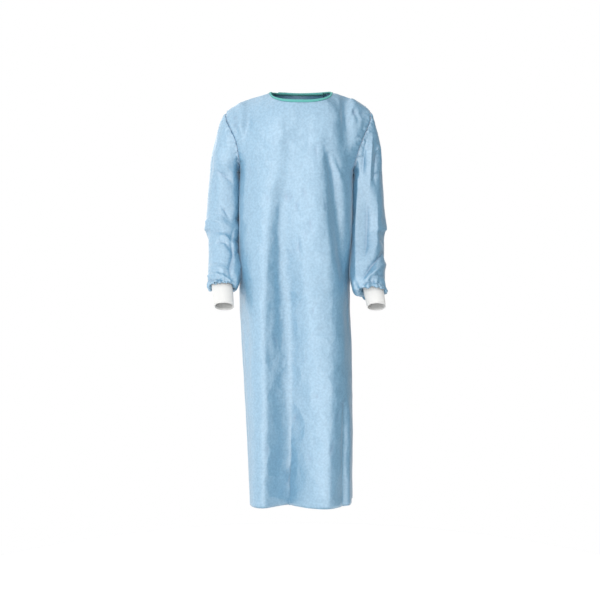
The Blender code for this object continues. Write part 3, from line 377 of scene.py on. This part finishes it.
BACK_SLEEVE_FOLDS = (
    [(216, 150, 2.7, 3.6, 0), (219, 180, 3.6, 3.6, 6.1), (216, 214, 3.6, 3.6, 0)],
    [(226, 150, 2.7, 3.6, 0), (229, 185, 3.6, 3.6, -5.2), (226, 214, 3.6, 3.6, 0)],
    fold(2.7, -5.2, (214, 216), (224, 221), (236, 218)),
    [(214, 226, 2.7, 2.7, 2.6), (225, 229, 2.7, 2.7, 6.1), (236, 226, 2.7, 2.7, 0)],
    [(214, 240, 1.8, 2.7, 0), (222, 238, 1.8, 2.7, -4.8), (234, 246, 1.8, 2.7, 0)],
    fold(2.7, -4.8, (216, 262), (226, 258), (236, 270)),
    [(372, 140, 2.7, 3.6, 0), (369, 172, 3.6, 3.6, 6.1), (372, 208, 3.6, 3.6, 0)],
    [(382, 150, 2.7, 3.6, 0), (379, 182, 3.6, 3.6, -5.2), (383, 210, 3.6, 3.6, 0)],
    fold(2.7, -5.2, (366, 214), (376, 219), (388, 214)),
    [(366, 224, 2.7, 2.7, 0), (377, 228, 2.7, 2.7, 6.1), (389, 223, 2.7, 2.7, 2.6)],
    [(368, 246, 1.8, 2.7, 0), (378, 240, 1.8, 2.7, -4.8), (388, 241, 1.8, 2.7, 0)],
    fold(2.7, -4.8, (370, 272), (380, 262), (388, 258)),
)
SIDE_FOLDS = (
    # The skirt below the sleeves, seen from either side
    [(300, 270, 7, 7, 0), (297, 340, 8, 8, 4.5), (295, 430, 8, 8, 5.2), (297, 512, 8, 8, 4.5)],
    [(312, 290, 5, 6, 0), (311, 350, 6, 7, -3.6), (311, 430, 6, 7, -4.5), (309, 512, 6, 7, -4.5)],
)
SIDE_SLEEVE_FOLDS = (
    [(296, 120, 4.5, 3.6, 0), (293, 145, 4.5, 3.6, 5.2), (297, 172, 4.5, 3.6, 0)],
    [(306, 124, 3.6, 4.5, 0), (305, 152, 3.6, 4.5, -5.2), (309, 184, 3.6, 4.5, 0)],
    [(286, 212, 2.7, 2.7, -2.6), (296, 217, 2.7, 2.7, -5.2), (310, 212, 2.7, 2.7, 0)],
    [(284, 222, 2.7, 3.6, 2.6), (298, 227, 2.7, 3.6, 6.1), (312, 222, 2.7, 3.6, 2.6)],
    [(280, 236, 2.7, 2.7, -2.6), (292, 240, 2.7, 2.7, -5.2), (306, 234, 2.7, 2.7, 0)],
    fold(2.7, -4.8, (276, 254), (288, 250), (302, 262)),
    fold(2.7, 4.8, (272, 270), (286, 264), (298, 274)),
)

# Slight unevenness everywhere, as noise with its height, its size across and along the hang, and
# its place in the noise
Unevenness = namedtuple("Unevenness", "height across along place")
DRAPE = (Unevenness(0.0012, 0.055, 0.19, 3.1), Unevenness(0.0005, 0.020, 0.045, 8.7))

# Crinkles: their height, their sizes, the size and share of the patches that have them, and the
# settings of their ridged noise from its roughness to its gain
CRINKLE = 0.0018
CRINKLE_STEP = (0.050, 0.050, 0.090)
CRINKLE_PATCH = 0.16
CRINKLE_PLACE = 5.3
CRINKLE_SHARE = 0.55
CRINKLE_NOISE = (1.0, 2.1, 2, 1.0, 2.0)


def smooth(share):
    """Rises from 0 to 1 with no slope at either end."""
    share = np.clip(share, 0.0, 1.0)
    return share * share * (3.0 - 2.0 * share)


def waves(angle, parts):
    """An uneven wave: the sum of a few plain ones."""
    return sum(size * np.sin(count * angle + turn) for count, turn, size in parts)


# Shader nodes


class Graph:
    """A shader tree, with short ways to add the nodes used here."""

    def __init__(self, tree):
        self.nodes = tree.nodes
        self.links = tree.links

    def feed(self, socket, value):
        """Links an input to an output, or sets it. Colours are opaque."""
        if isinstance(value, bpy.types.NodeSocket):
            self.links.new(value, socket)
        else:
            socket.default_value = (*value, 1.0) if socket.type == "RGBA" else value

    def add(self, kind, inputs=None, **settings):
        """A node with its settings, and with its inputs linked or set."""
        made = self.nodes.new("ShaderNode" + kind)
        for name, value in settings.items():
            setattr(made, name, value)
        for name, value in (inputs or {}).items():
            self.feed(made.inputs[name], value)
        return made

    def own_places(self):
        """Places in the object's own coordinates."""
        return self.add("TexCoord").outputs["Object"]

    def noise_over(self, places, scale, detail):
        """A noise node over some places."""
        return self.add("TexNoise", {"Vector": places, "Scale": scale, "Detail": detail})

    def ease(self, value, limits):
        """A smooth change of a value from one range to another."""
        inputs = dict(zip(("From Min", "From Max", "To Min", "To Max"), limits))
        inputs["Value"] = value
        made = self.add("MapRange", inputs, interpolation_type="SMOOTHSTEP")
        return made.outputs["Result"]

    def scaled(self, value, factor, added=0.0):
        """A value times a factor, with another added."""
        inputs = {0: value, 1: factor, 2: added}
        return self.add("Math", inputs, operation="MULTIPLY_ADD").outputs[0]

    def tint(self, share, start, end):
        """The colour at a share of the way between two."""
        made = self.add("Mix", {"Factor": share, "A": start, "B": end}, data_type="RGBA")
        return made.outputs["Result"]

    def stored(self, name):
        """A value stored with the mesh."""
        return self.add("Attribute", attribute_name=name).outputs["Fac"]

    def emboss(self, shader, height, strength, distance):
        """Gives a shader a small relief."""
        inputs = {"Height": height, "Strength": strength, "Distance": distance}
        self.feed(shader.inputs["Normal"], self.add("Bump", inputs).outputs["Normal"])


# The camera and the studio


def make_camera():
    """The camera at the photograph's place, and plain colours."""
    data = bpy.data.cameras.new("camera")
    data.sensor_width = CAMERA_SENSOR
    data.lens = CAMERA_LENS
    camera = bpy.data.objects.new("camera", data)
    SCENE.collection.objects.link(camera)
    camera.location = CAMERA_PLACE
    camera.rotation_euler = Euler((math.pi / 2, 0.0, 0.0))
    SCENE.camera = camera
    SCENE.view_settings.view_transform = "Standard"


def make_light(light):
    """A large soft light that looks at its target."""
    data = bpy.data.lights.new(light.name, "AREA")
    data.shape = "RECTANGLE"
    data.size, data.size_y = light.size
    data.energy = light.power
    made = bpy.data.objects.new(light.name, data)
    SCENE.collection.objects.link(made)
    made.location = light.place
    ahead = Vector(light.target) - Vector(light.place)
    made.rotation_euler = ahead.to_track_quat("-Z", "Y").to_euler()


def make_studio():
    """A dome that is bright to the front left, white where the camera sees it, and soft lights."""
    world = bpy.data.worlds.new("studio")
    SCENE.world = world
    world.use_nodes = True
    graph = Graph(world.node_tree)
    way = graph.add("TexCoord").outputs["Generated"]
    turn = graph.add("VectorMath", {0: way, 1: BRIGHT_SIDE}, operation="DOT_PRODUCT")
    around = graph.nodes["Background"]
    graph.feed(around.inputs["Color"], WHITE)
    graph.feed(around.inputs["Strength"], graph.ease(turn.outputs["Value"], DOME))
    behind = graph.add("Background", {"Color": WHITE})
    to_camera = graph.add("LightPath").outputs["Is Camera Ray"]
    mixed = graph.add("MixShader", {0: to_camera, 1: around.outputs[0], 2: behind.outputs[0]})
    graph.feed(graph.nodes["World Output"].inputs["Surface"], mixed.outputs[0])
    for light in LIGHTS:
        make_light(light)


def make_floor(material):
    """A plain pale floor below the hem."""
    bm = bmesh.new()
    bmesh.ops.create_circle(bm, cap_ends=True, segments=FLOOR_CORNERS, radius=FLOOR_RADIUS)
    bmesh.ops.translate(bm, vec=(0.0, 0.0, FLOOR_Z), verts=bm.verts)
    finish_mesh("floor", bm, material)


# Small helpers for meshes


def finish_mesh(name, bm, material):
    """Turns a bmesh into an object of the scene, smooth shaded."""
    mesh = bpy.data.meshes.new(name)
    bm.to_mesh(mesh)
    bm.free()
    mesh.shade_smooth()
    mesh.materials.append(material)
    made = bpy.data.objects.new(name, mesh)
    SCENE.collection.objects.link(made)
    return made


def finish_piece(name, bm, material, node, thickness, offset):
    """A piece of the gown: a thin shell that stands for a CAD node."""
    made = finish_mesh(name, bm, material)
    wall = made.modifiers.new("shell", "SOLIDIFY")
    wall.thickness = thickness
    wall.offset = offset
    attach(made, "root")
    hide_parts(node)
    return made


def subdivided(bm, levels):
    """The bmesh's mesh after smooth subdivision. Its UV map is only split evenly."""
    made = finish_mesh("whole", bm, None)
    modifier = made.modifiers.new("smooth", "SUBSURF")
    modifier.levels = modifier.render_levels = levels
    modifier.uv_smooth = "NONE"
    modifier.boundary_smooth = "PRESERVE_CORNERS"
    graph = bpy.context.evaluated_depsgraph_get()
    mesh = bpy.data.meshes.new_from_object(made.evaluated_get(graph))
    bpy.data.objects.remove(made)
    return mesh


def extrude_row(bm, edges, carried):
    """Extrudes a row of edges in place. The values carried by its vertices pass on to the new."""
    grown = bmesh.ops.extrude_edge_only(bm, edges=edges)["geom"]
    onward = {}
    for vert in grown:
        if isinstance(vert, bmesh.types.BMVert):
            sources = (edge.other_vert(vert) for edge in vert.link_edges)
            onward[vert] = carried[next(source for source in sources if source in carried)]
    row = [
        edge
        for edge in grown
        if isinstance(edge, bmesh.types.BMEdge) and all(vert in onward for vert in edge.verts)
    ]
    return row, onward


# Reading the gown's outer skin from the CAD walls


def on_rim(face):
    """Whether a face lies on the rim between a wall's two skins."""
    limit = RIM_AT_ARMHOLE if face.calc_center_median().z > ARMHOLE_FOOT else RIM_BELOW
    return min(edge.calc_length() for edge in face.edges) < limit


def outer_skin(piece):
    """A node's outer skin: what its outermost face reaches without crossing a rim."""
    own = bmesh.new()
    own.from_mesh(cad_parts[piece.node].data)
    bmesh.ops.remove_doubles(own, verts=own.verts, dist=WELD)
    rims = {face for face in own.faces if on_rim(face)}
    way = Vector(piece.way)
    inner = [face for face in own.faces if face not in rims]
    start = max(inner, key=lambda face: face.calc_center_median().dot(way))
    reached, fresh = {start}, [start]
    while fresh:
        for edge in fresh.pop().edges:
            for face in edge.link_faces:
                if face not in reached and face not in rims:
                    reached.add(face)
                    fresh.append(face)
    rest = [face for face in own.faces if face not in reached]
    bmesh.ops.delete(own, geom=rest, context="FACES")
    return own


def beside(vert):
    """The vertices at the other ends of a vertex's edges."""
    return {edge.other_vert(vert) for edge in vert.link_edges}


def border_loops(own):
    """The open borders, each as a loop of vertices."""
    left = {edge: None for edge in own.edges if edge.is_boundary}
    loops = []
    while left:
        edge = next(iter(left))
        del left[edge]
        loop = list(edge.verts)
        while loop[-1] is not loop[0]:
            edge = next(edge for edge in loop[-1].link_edges if edge in left)
            del left[edge]
            loop.append(edge.other_vert(loop[-1]))
        loops.append(loop[:-1])
    return loops


def hem_and_side(loop):
    """The hem's vertices from smaller to larger x, and those up the side where they start."""
    low = min(vert.co.z for vert in loop) + HEM_BAND
    start = next(i for i in range(len(loop)) if loop[i].co.z < low <= loop[i - 1].co.z)
    loop = loop[start:] + loop[:start]
    hem = [vert for vert in loop if vert.co.z < low]
    rest = loop[len(hem) :]
    if hem[0].co.x > hem[-1].co.x:
        return hem[::-1], [hem[-1]] + rest
    return hem, [hem[0]] + rest[::-1]


def next_row(row, before, first, closed):
    """The row of grid points after a row, from its first point on, or None if it has no such."""
    made = [first]
    for point in row[1:] + row[:1] * closed:
        shared = (beside(made[-1]) & beside(point)) - set(row) - set(before)
        if len(shared) != 1:
            return None
        made.append(shared.pop())
    if not closed:
        return made
    return made[:-1] if made[-1] is first else None


def grid_rows(own, count):
    """A skin's grid points row by row: from the hem up, or down a sleeve from the armhole."""
    loops = border_loops(own)
    closed = len(loops) == 2
    if closed:
        rows = [max(loops, key=lambda loop: sum(vert.co.z for vert in loop))]
    else:
        hem, side = hem_and_side(loops[0])
        rows = [hem]
    while len(rows) < count:
        row, before = rows[-1], rows[-2] if len(rows) > 1 else []
        if closed:
            step = (row[0].co - before[0].co).normalized() if before else Vector()
            near = [(vert.co - row[0].co, vert) for vert in beside(row[0]) - {*row, *before}]
            near.sort(key=lambda pair: (pair[0] - step * pair[0].length).length)
            starts = [vert for _, vert in near]
        else:
            starts = [side[len(rows)]]
        tries = (next_row(row, before, first, closed) for first in starts)
        rows.append(next(made for made in tries if made))
    return rows


def add_quad_skin(whole, number, piece):
    """Adds a node's outer skin to the whole as quads, with its columns and rows as a UV map."""
    own = outer_skin(piece)
    rows = grid_rows(own, piece.rows)
    place = {vert: (i, j) for i, row in enumerate(rows) for j, vert in enumerate(row)}
    diagonals = []
    for edge in own.edges:
        (row_a, column_a), (row_b, column_b) = (place[vert] for vert in edge.verts)
        if row_a != row_b and column_a != column_b:
            diagonals.append(edge)
    bmesh.ops.dissolve_edges(own, edges=diagonals, use_verts=False)
    mark = own.faces.layers.int.new("piece")
    grid = own.loops.layers.uv.new("grid")
    for face in own.faces:
        face[mark] = number
        columns = [place[loop.vert][1] for loop in face.loops]
        wraps = max(columns) - min(columns) > 1
        for loop, column in zip(face.loops, columns):
            turned = column + (len(rows[0]) if wraps and column == 0 else 0)
            loop[grid].uv = (turned, place[loop.vert][0])
    held = bpy.data.meshes.new("skin")
    own.to_mesh(held)
    own.free()
    whole.from_mesh(held)
    bpy.data.meshes.remove(held)


def halfway_columns(bm):
    """The edges of the body's pieces that lie halfway between two columns."""
    mark = bm.faces.layers.int["piece"]
    grid = bm.loops.layers.uv["grid"]
    found = []
    for edge in bm.edges:
        corners = [c for loop in edge.link_loops for c in (loop, loop.link_loop_next)]
        if all(abs(corner[grid].uv.x % 1.0 - 0.5) < GRID_CLOSE for corner in corners):
            if all(face[mark] < BODY_COUNT for face in edge.link_faces):
                found.append(edge)
    return found


def read_whole_skin():
    """The outer skins of the cloth nodes as one smooth mesh, joined at the seams."""
    whole = bmesh.new()
    whole.faces.layers.int.new("piece")
    whole.loops.layers.uv.new("grid")
    for number, piece in enumerate(PIECES):
        add_quad_skin(whole, number, piece)
    bmesh.ops.remove_doubles(whole, verts=whole.verts, dist=SEAM_MERGE)
    bm = bmesh.new()
    bm.from_mesh(subdivided(whole, 1))
    bmesh.ops.dissolve_edges(bm, edges=halfway_columns(bm), use_verts=True)
    return subdivided(bm, 2)


# Creasing


def path_height(path, places, fall):
    """How many millimetres one fold moves the cloth out at some places."""
    nearest = np.full(len(places), np.inf)
    height = np.zeros(len(places))
    for start, end in zip(path, path[1:]):
        start, end = np.array(start, float), np.array(end, float)
        run = end[:2] - start[:2]
        share = np.clip((places - start[:2]) @ run / (run @ run), 0.0, 1.0)
        off = places - start[:2] - share[:, None] * run
        away = np.hypot(*off.T)
        _, _, left, right, most = (start + (end - start) * share[:, None]).T
        away_in_widths = away / np.where(run[0] * off[:, 1] - run[1] * off[:, 0] > 0, left, right)
        shape = np.exp(-(away_in_widths**fall))
        closer = away < nearest
        height[closer] = (most * shape)[closer]
        nearest[closer] = away[closer]
    return height


class Skin:
    """The joined skin as arrays: its points, their outward ways and the pieces they are on."""

    def __init__(self, mesh):
        self.mesh = mesh
        count, corners = len(mesh.vertices), len(mesh.loops)
        self.points = self.read(mesh.vertices, "co", count)
        self.normals = self.read(mesh.vertices, "normal", count)
        corner_vert = np.empty(corners, np.int32)
        mesh.loops.foreach_get("vertex_index", corner_vert)
        numbers = np.empty(len(mesh.polygons), np.int32)
        mesh.attributes["piece"].data.foreach_get("value", numbers)
        sizes = np.empty(len(mesh.polygons), np.int32)
        mesh.polygons.foreach_get("loop_total", sizes)
        corner_piece = np.repeat(numbers, sizes)
        grid = np.empty(corners * 2, np.float32)
        mesh.uv_layers["grid"].data.foreach_get("uv", grid)
        self.on = np.zeros((len(PIECES), count), bool)
        self.on[corner_piece, corner_vert] = True
        self.rows = np.zeros((len(PIECES), count))
        self.rows[corner_piece, corner_vert] = grid[1::2]
        self.body = self.on[:BODY_COUNT].any(axis=0)
        self.sleeve = self.on[BODY_COUNT:].any(axis=0)
        self.armhole = self.body & self.sleeve
        self.seam = self.on.sum(axis=0) > 1

    @staticmethod
    def read(items, name, count):
        """A vector of each item, as rows."""
        flat = np.empty(count * 3)
        items.foreach_get(name, flat)
        return flat.reshape(-1, 3)

    def push(self, height):
        """Moves the points out by their heights."""
        self.shift(self.normals * height[:, None])

    def shift(self, move):
        """Moves the points."""
        self.points = self.points + move
        self.mesh.vertices.foreach_set("co", self.points.ravel())
        self.mesh.update()
        self.normals = self.read(self.mesh.vertices, "normal", len(self.points))

    def keep(self, name, values):
        """Stores a value for each point, for the materials."""
        held = self.mesh.attributes.new(name, "FLOAT", "POINT")
        held.data.foreach_set("value", values)


def seen(points, side):
    """Where points appear in the photograph, or seen squarely from another side in its unit."""
    x, y, z = points.T
    if side == "front":
        scale = -CAMERA_PLACE[1] / (y - CAMERA_PLACE[1]) / UNIT
    else:
        scale = 1.0 / NEAR_UNIT
    across = {"front": x, "back": -x, "left": y, "right": -y}[side]
    down = CAMERA_PLACE[2] - z
    return np.stack((across * scale + PICTURE_MIDDLE[0], down * scale + PICTURE_MIDDLE[1]), axis=1)


def crease_gown(skin, from_armhole):
    """Presses the tables' folds into the skin, and keeps a painted shade that grows with the depth
    of its creases and sleeve troughs.
    """
    total = np.zeros(len(skin.points))
    painted_shade = np.zeros(len(skin.points))
    fade = smooth(from_armhole / ARMHOLE_FADE)
    tables = (
        ("front", skin.body, FRONT_FOLDS, FRONT_CREASES),
        ("front", skin.sleeve, FRONT_SLEEVE_FOLDS, ()),
        ("back", skin.body, BACK_FOLDS, BACK_CREASES),
        ("back", skin.sleeve, BACK_SLEEVE_FOLDS, ()),
        ("left", skin.body, SIDE_FOLDS, ()),
        ("right", skin.body, SIDE_FOLDS, ()),
        ("left", skin.sleeve, SIDE_SLEEVE_FOLDS, ()),
        ("right", skin.sleeve, SIDE_SLEEVE_FOLDS, ()),
    )
    for side, part, folds, creases in tables:
        view = VIEWS[side]
        facing = skin.normals @ np.array(view.way, float)
        share = smooth((facing - view.turn) / TURN_EASE) * fade
        touched = part & (share > 0)
        places = seen(skin.points[touched], side)
        fall = BODY_FALL if part is skin.body else SLEEVE_FALL
        height = np.zeros(len(places))
        for path in folds:
            height += path_height(path, places, fall)
        dents = np.zeros(len(places))
        for path in creases:
            dents += path_height(path, places, CREASE_FALL)
        total[touched] += (height + dents) * share[touched] * MILLIMETRE
        # Painted shade: the deeper a crease on the body, or a trough on a sleeve, the darker its
        # colour
        painted_dark = -dents / CREASE_DEPTH_AT_FULL_SHADE if part is skin.body else -height / SLEEVE_FOLD_DEPTH_AT_FULL_SHADE
        painted_shade[touched] = np.maximum(painted_shade[touched], painted_dark)
    skin.keep("painted_crease_shade", np.clip(painted_shade, 0.0, 1.0) ** 2)
    skin.push(total)


def drape(skin):
    """Slight unevenness over the whole gown, longer along the hang than across it."""
    total = np.zeros(len(skin.points))
    for part in DRAPE:
        scale = np.array((1 / part.across, 1 / part.across, 1 / part.along))
        places = skin.points * scale + part.place
        total += part.height * np.array([noise.noise(Vector(at)) for at in places])
    places = skin.points / np.array(CRINKLE_STEP)
    ridges = [noise.ridged_multi_fractal(Vector(at), *CRINKLE_NOISE) for at in places]
    patches = [noise.noise(Vector(at)) for at in skin.points / CRINKLE_PATCH + CRINKLE_PLACE]
    total += CRINKLE * (np.array(ridges) - 1.0) * smooth(CRINKLE_SHARE + np.array(patches))
    skin.push(total)


def nearest_of(skin, chosen):
    """Each point's distance to the nearest of the chosen ones, and which that is."""
    tree = kdtree.KDTree(int(chosen.sum()))
    for index in np.flatnonzero(chosen):
        tree.insert(Vector(skin.points[index]), int(index))
    tree.balance()
    found = [tree.find(Vector(point)) for point in skin.points]
    return np.array([hit[2] for hit in found]), np.array([hit[1] for hit in found])


def seam_runs(skin):
    """How far along its seam each seam point lies, by walking the seams end to end."""
    bm = bmesh.new()
    bm.from_mesh(skin.mesh)
    bm.verts.ensure_lookup_table()
    mark = bm.faces.layers.int["piece"]
    near = {}
    for edge in bm.edges:
        if len({face[mark] for face in edge.link_faces}) == 2:
            a, b = (vert.index for vert in edge.verts)
            near.setdefault(a, []).append((b, edge.calc_length()))
            near.setdefault(b, []).append((a, edge.calc_length()))
    run = {}
    ends = sorted(index for index in near if len(near[index]) != 2)
    fresh = [(index, 0.0) for index in ends or [min(near)]]
    while fresh:
        index, far = fresh.pop()
        if index in run:
            continue
        run[index] = far
        fresh.extend((other, far + length) for other, length in near[index] if other not in run)
    bm.free()
    runs = np.zeros(len(skin.points))
    runs[list(run)] = list(run.values())
    return runs


def work_seams(skin, distance, run, from_armhole):
    """A shallow groove along each seam, with short puckers that run out of the armholes."""
    uneven = waves(run / PUCKER_STEP * 2 * math.pi, PUCKER_WAVES)
    reach = smooth(distance / PUCKER_START) * np.exp(-((from_armhole / PUCKER_REACH) ** 2))
    groove = SEAM_GROOVE * np.exp(-((distance / SEAM_REACH) ** 2))
    skin.push(PUCKER * uneven * reach - groove)


def close_sleeves(skin):
    """Leans the sleeves' inner sides on the body, from the underarms down."""
    move = np.zeros_like(skin.points)
    for side, number in ((1, SLEEVE_LEFT), (-1, SLEEVE_RIGHT)):
        inward = smooth((-side * skin.normals[:, 0] - LEAN_TURN) / LEAN_TURN_EASE)
        inward = inward * skin.on[number] * ~skin.armhole
        z = skin.points[:, 2]
        along = smooth((LEAN_TOP - z) / LEAN_EASE) * smooth((z - LEAN_FOOT) / LEAN_EASE)
        move[:, 0] -= side * LEAN * inward * along
    skin.shift(move)


def gather_sleeves(skin):
    """Uneven pleats that run up the sleeves from the cuffs."""
    total = np.zeros(len(skin.points))
    for number, name in ((SLEEVE_LEFT, "cuff_left"), (SLEEVE_RIGHT, "cuff_right")):
        side, start, _ = CUFFS[name]
        on = skin.on[number]
        x, y, _ = skin.points[on].T
        angle = np.arctan2(y - start.y, x - side * start.out)
        row = skin.rows[number][on]
        rise, most, ease, last = GATHER_ROWS
        share = smooth((row - rise) / (most - rise)) * smooth((last - row) / (last - ease))
        total[on] = GATHER_HEIGHT * waves(angle, GATHER_WAVES) * share
    skin.push(total)


def cut_apart(skin, material):
    """The pieces of the gown, cut from the skin along the seams, each a thin shell."""
    made = {}
    for number, piece in enumerate(PIECES):
        bm = bmesh.new()
        bm.from_mesh(skin.mesh)
        mark = bm.faces.layers.int["piece"]
        others = [face for face in bm.faces if face[mark] != number]
        bmesh.ops.delete(bm, geom=others, context="FACES")
        name = piece.node + "_cloth"
        made[name] = finish_piece(name, bm, material, piece.node, SHELL, INWARD)
    return made


# The neck binding


def make_binding(skin, material):
    """The neck's tape, folded over the cloth's edge from one free edge of the back to the other."""
    bm = bmesh.new()
    bm.from_mesh(skin.mesh)
    grid = bm.loops.layers.uv["grid"]
    top = PIECES[0].rows - 1
    neck = set()
    for edge in bm.edges:
        corners = [c for loop in edge.link_loops for c in (loop, loop.link_loop_next)]
        at_top = all(abs(corner[grid].uv.y - top) < GRID_CLOSE for corner in corners)
        if edge.is_boundary and at_top:
            neck.update(edge.verts)
    frames = {}
    for vert in neck:
        inner = [
            edge.other_vert(vert).co - vert.co for edge in vert.link_edges if not edge.is_boundary
        ]
        out = vert.normal.copy()
        down = sum(inner, Vector())
        if not inner:
            down = Vector((0.0, 0.0, -1.0))
        down = (down - out * down.dot(out)).normalized()
        frames[vert] = (vert.co.copy(), out, down)
    rest = [vert for vert in bm.verts if vert not in neck]
    bmesh.ops.delete(bm, geom=rest, context="VERTS")
    edges = bm.edges[:]
    for number, (out, down) in enumerate(BINDING_PROFILE):
        if number:
            edges, frames = extrude_row(bm, edges, frames)
        for vert, (place, outward, downward) in frames.items():
            vert.co = place + outward * out + downward * down
    bmesh.ops.recalc_face_normals(bm, faces=bm.faces)
    name, node, slot = "neck_binding_tape", "neck_binding", "binding_cloth"
    return finish_piece(name, bm, material, node, BINDING_SHELL, EVENLY)


# The cuffs


def cuff_point(side, start, end, share, angle):
    """A point of a cuff's plain middle surface, and the way out of it."""
    out, y, z, wide, deep, pitch = (a + (b - a) * share for a, b in zip(start, end))
    pitch = math.radians(pitch)
    cosine, sine = math.cos(angle), math.sin(angle)
    across = wide * math.copysign(abs(cosine) ** (2 / CUFF_SQUARE), cosine)
    ahead = deep * math.copysign(abs(sine) ** (2 / CUFF_SQUARE), sine)
    place = Vector((side * out + across, y - ahead * math.cos(pitch), z + ahead * math.sin(pitch)))
    way = Vector((cosine, -sine * math.cos(pitch), sine * math.sin(pitch)))
    return place, way


def make_cuff(name, side, start, end, material):
    """A rib knit cuff: a tube of fine ribs."""
    bm = bmesh.new()
    ring = bmesh.ops.create_circle(bm, segments=CUFF_COLUMNS, radius=1.0)["verts"]
    angles = {vert: math.atan2(vert.co.y, vert.co.x) for vert in ring}
    edges = bm.edges[:]
    for row in range(CUFF_ROWS + 1):
        share = row / CUFF_ROWS
        if row:
            edges, angles = extrude_row(bm, edges, angles)
        for vert, angle in angles.items():
            place, way = cuff_point(side, start, end, share, angle)
            rib = RIB_DEPTH * math.cos(CUFF_RIBS * angle)
            vert.co = place + way * (rib + CUFF_BULGE * math.sin(math.pi * share))
    bmesh.ops.recalc_face_normals(bm, faces=bm.faces)
    return finish_piece(name + "_knit", bm, material, name, CUFF_SHELL, EVENLY)


# Materials


def new_material(name, colour, roughness):
    """A material with its colour and roughness set on the shader."""
    made = bpy.data.materials.new(name)
    made.use_nodes = True
    shader = made.node_tree.nodes["Principled BSDF"]
    shader.inputs["Base Color"].default_value = (*colour, 1.0)
    shader.inputs["Roughness"].default_value = roughness
    return made, shader


def make_gown_cloth():
    """Blue nonwoven cloth with a slight sheen, and painted shade along its seams and in its creases.
    """
    made, shader = new_material("gown_nonwoven", CLOTH_BLUE, roughness=0.43)
    graph = Graph(made.node_tree)
    places = graph.own_places()
    blotches = graph.noise_over(places, scale=160, detail=3).outputs["Fac"]
    colour = graph.tint(graph.ease(blotches, BLOTCH_CONTRAST), CLOTH_DEEP, CLOTH_PALE)
    # Painted shade: the colour darkens towards the shadow colour along the seams and in the creases
    seam_shade_clear = graph.ease(graph.stored("seam_distance"), SEAM_SHADOW)
    colour = graph.tint(seam_shade_clear, CLOTH_SHADOW, colour)
    painted_crease_share = graph.scaled(graph.stored("painted_crease_shade"), CREASE_SHADOW)
    colour = graph.tint(painted_crease_share, colour, CLOTH_SHADOW)
    graph.feed(shader.inputs["Base Color"], colour)
    fibres = graph.noise_over(places, scale=900, detail=2).outputs["Fac"]
    wander = graph.noise_over(places, scale=9, detail=3).outputs["Color"]
    inputs = {0: wander, 1: FACET_WANDER, 2: places}
    wandering = graph.add("VectorMath", inputs, operation="MULTIPLY_ADD").outputs[0]
    facets = graph.add("TexVoronoi", {"Vector": wandering, "Scale": 15}).outputs["Distance"]
    stretched = graph.add("Mapping", {"Vector": places, "Scale": STREAK_STRETCH}).outputs["Vector"]
    streaks = graph.noise_over(stretched, scale=30, detail=4).outputs["Fac"]
    relief = graph.scaled(fibres, FIBRE_HEIGHT, blotches)
    relief = graph.scaled(facets, FACET_HEIGHT, relief)
    relief = graph.scaled(streaks, STREAK_HEIGHT, relief)
    graph.emboss(shader, relief, strength=0.30, distance=0.0010)
    shader.inputs["IOR"].default_value = 2.6
    shader.inputs["Sheen Weight"].default_value = 0.30
    shader.inputs["Sheen Roughness"].default_value = 0.4
    return made


def make_rib_knit():
    """White knit with fine stitches along its ribs."""
    made, shader = new_material("cuff_rib_knit", KNIT_WHITE, roughness=0.9)
    graph = Graph(made.node_tree)
    inputs = {"Vector": graph.own_places(), "Scale": 170, "Distortion": 3.0}
    stitches = graph.add("TexWave", inputs, bands_direction="Z").outputs["Fac"]
    graph.feed(shader.inputs["Base Color"], graph.tint(stitches, KNIT_DEEP, KNIT_PALE))
    graph.emboss(shader, stitches, strength=0.5, distance=0.0004)
    return made


def build_weave():
    """A fine weave in two close tints, as a node group for every tape."""
    group = bpy.data.node_groups.new("weave", "ShaderNodeTree")
    for name, kind in (("Pale", "Color"), ("Deep", "Color"), ("Scale", "Float")):
        group.interface.new_socket(name, in_out="INPUT", socket_type="NodeSocket" + kind)
    for name, kind in (("Color", "Color"), ("Height", "Float")):
        group.interface.new_socket(name, in_out="OUTPUT", socket_type="NodeSocket" + kind)
    graph = Graph(group)
    asked = group.nodes.new("NodeGroupInput").outputs
    given = group.nodes.new("NodeGroupOutput").inputs
    inputs = {"Vector": graph.own_places(), "Scale": asked["Scale"]}
    weave = graph.add("TexVoronoi", inputs).outputs["Distance"]
    graph.feed(given["Color"], graph.tint(weave, asked["Pale"], asked["Deep"]))
    graph.feed(given["Height"], weave)
    return group


def make_woven_tape(name, weave, deep, pale, scale):
    """A fine woven tape in two close tints."""
    made, shader = new_material(name, pale, roughness=0.75)
    graph = Graph(made.node_tree)
    woven = graph.add("Group", node_tree=weave)
    for socket, value in (("Pale", pale), ("Deep", deep), ("Scale", scale)):
        graph.feed(woven.inputs[socket], value)
    graph.feed(shader.inputs["Base Color"], woven.outputs["Color"])
    graph.emboss(shader, woven.outputs["Height"], strength=0.5, distance=0.0005)
    return made


def cover_node(node, material):
    """Gives a CAD node that stays a procedural material."""
    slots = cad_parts[node].data.materials
    slots.clear()
    slots.append(material)


make_camera()
make_studio()
floor_finish, _ = new_material("floor_matt", FLOOR_WHITE, roughness=0.9)
make_floor(floor_finish)

skin = Skin(read_whole_skin())
from_armhole, _ = nearest_of(skin, skin.armhole)
close_sleeves(skin)
crease_gown(skin, from_armhole)
drape(skin)
runs = seam_runs(skin)
from_seam, nearest = nearest_of(skin, skin.seam)
work_seams(skin, from_seam, runs[nearest], from_armhole)
gather_sleeves(skin)
skin.keep("seam_distance", from_seam)

pieces = cut_apart(skin, make_gown_cloth())
weave = build_weave()
binding = make_woven_tape("binding_tape", weave, BINDING_DEEP, BINDING_PALE, scale=900)
pieces["neck_binding_tape"] = make_binding(skin, binding)
knit = make_rib_knit()
for name, (side, start, end) in CUFFS.items():
    pieces[name + "_knit"] = make_cuff(name, side, start, end, knit)
pads = make_woven_tape("hook_and_loop", weave, PAD_DEEP, PAD_PALE, scale=700)
cover_node("fastening_hooks", pads)
cover_node("fastening_loops", pads)
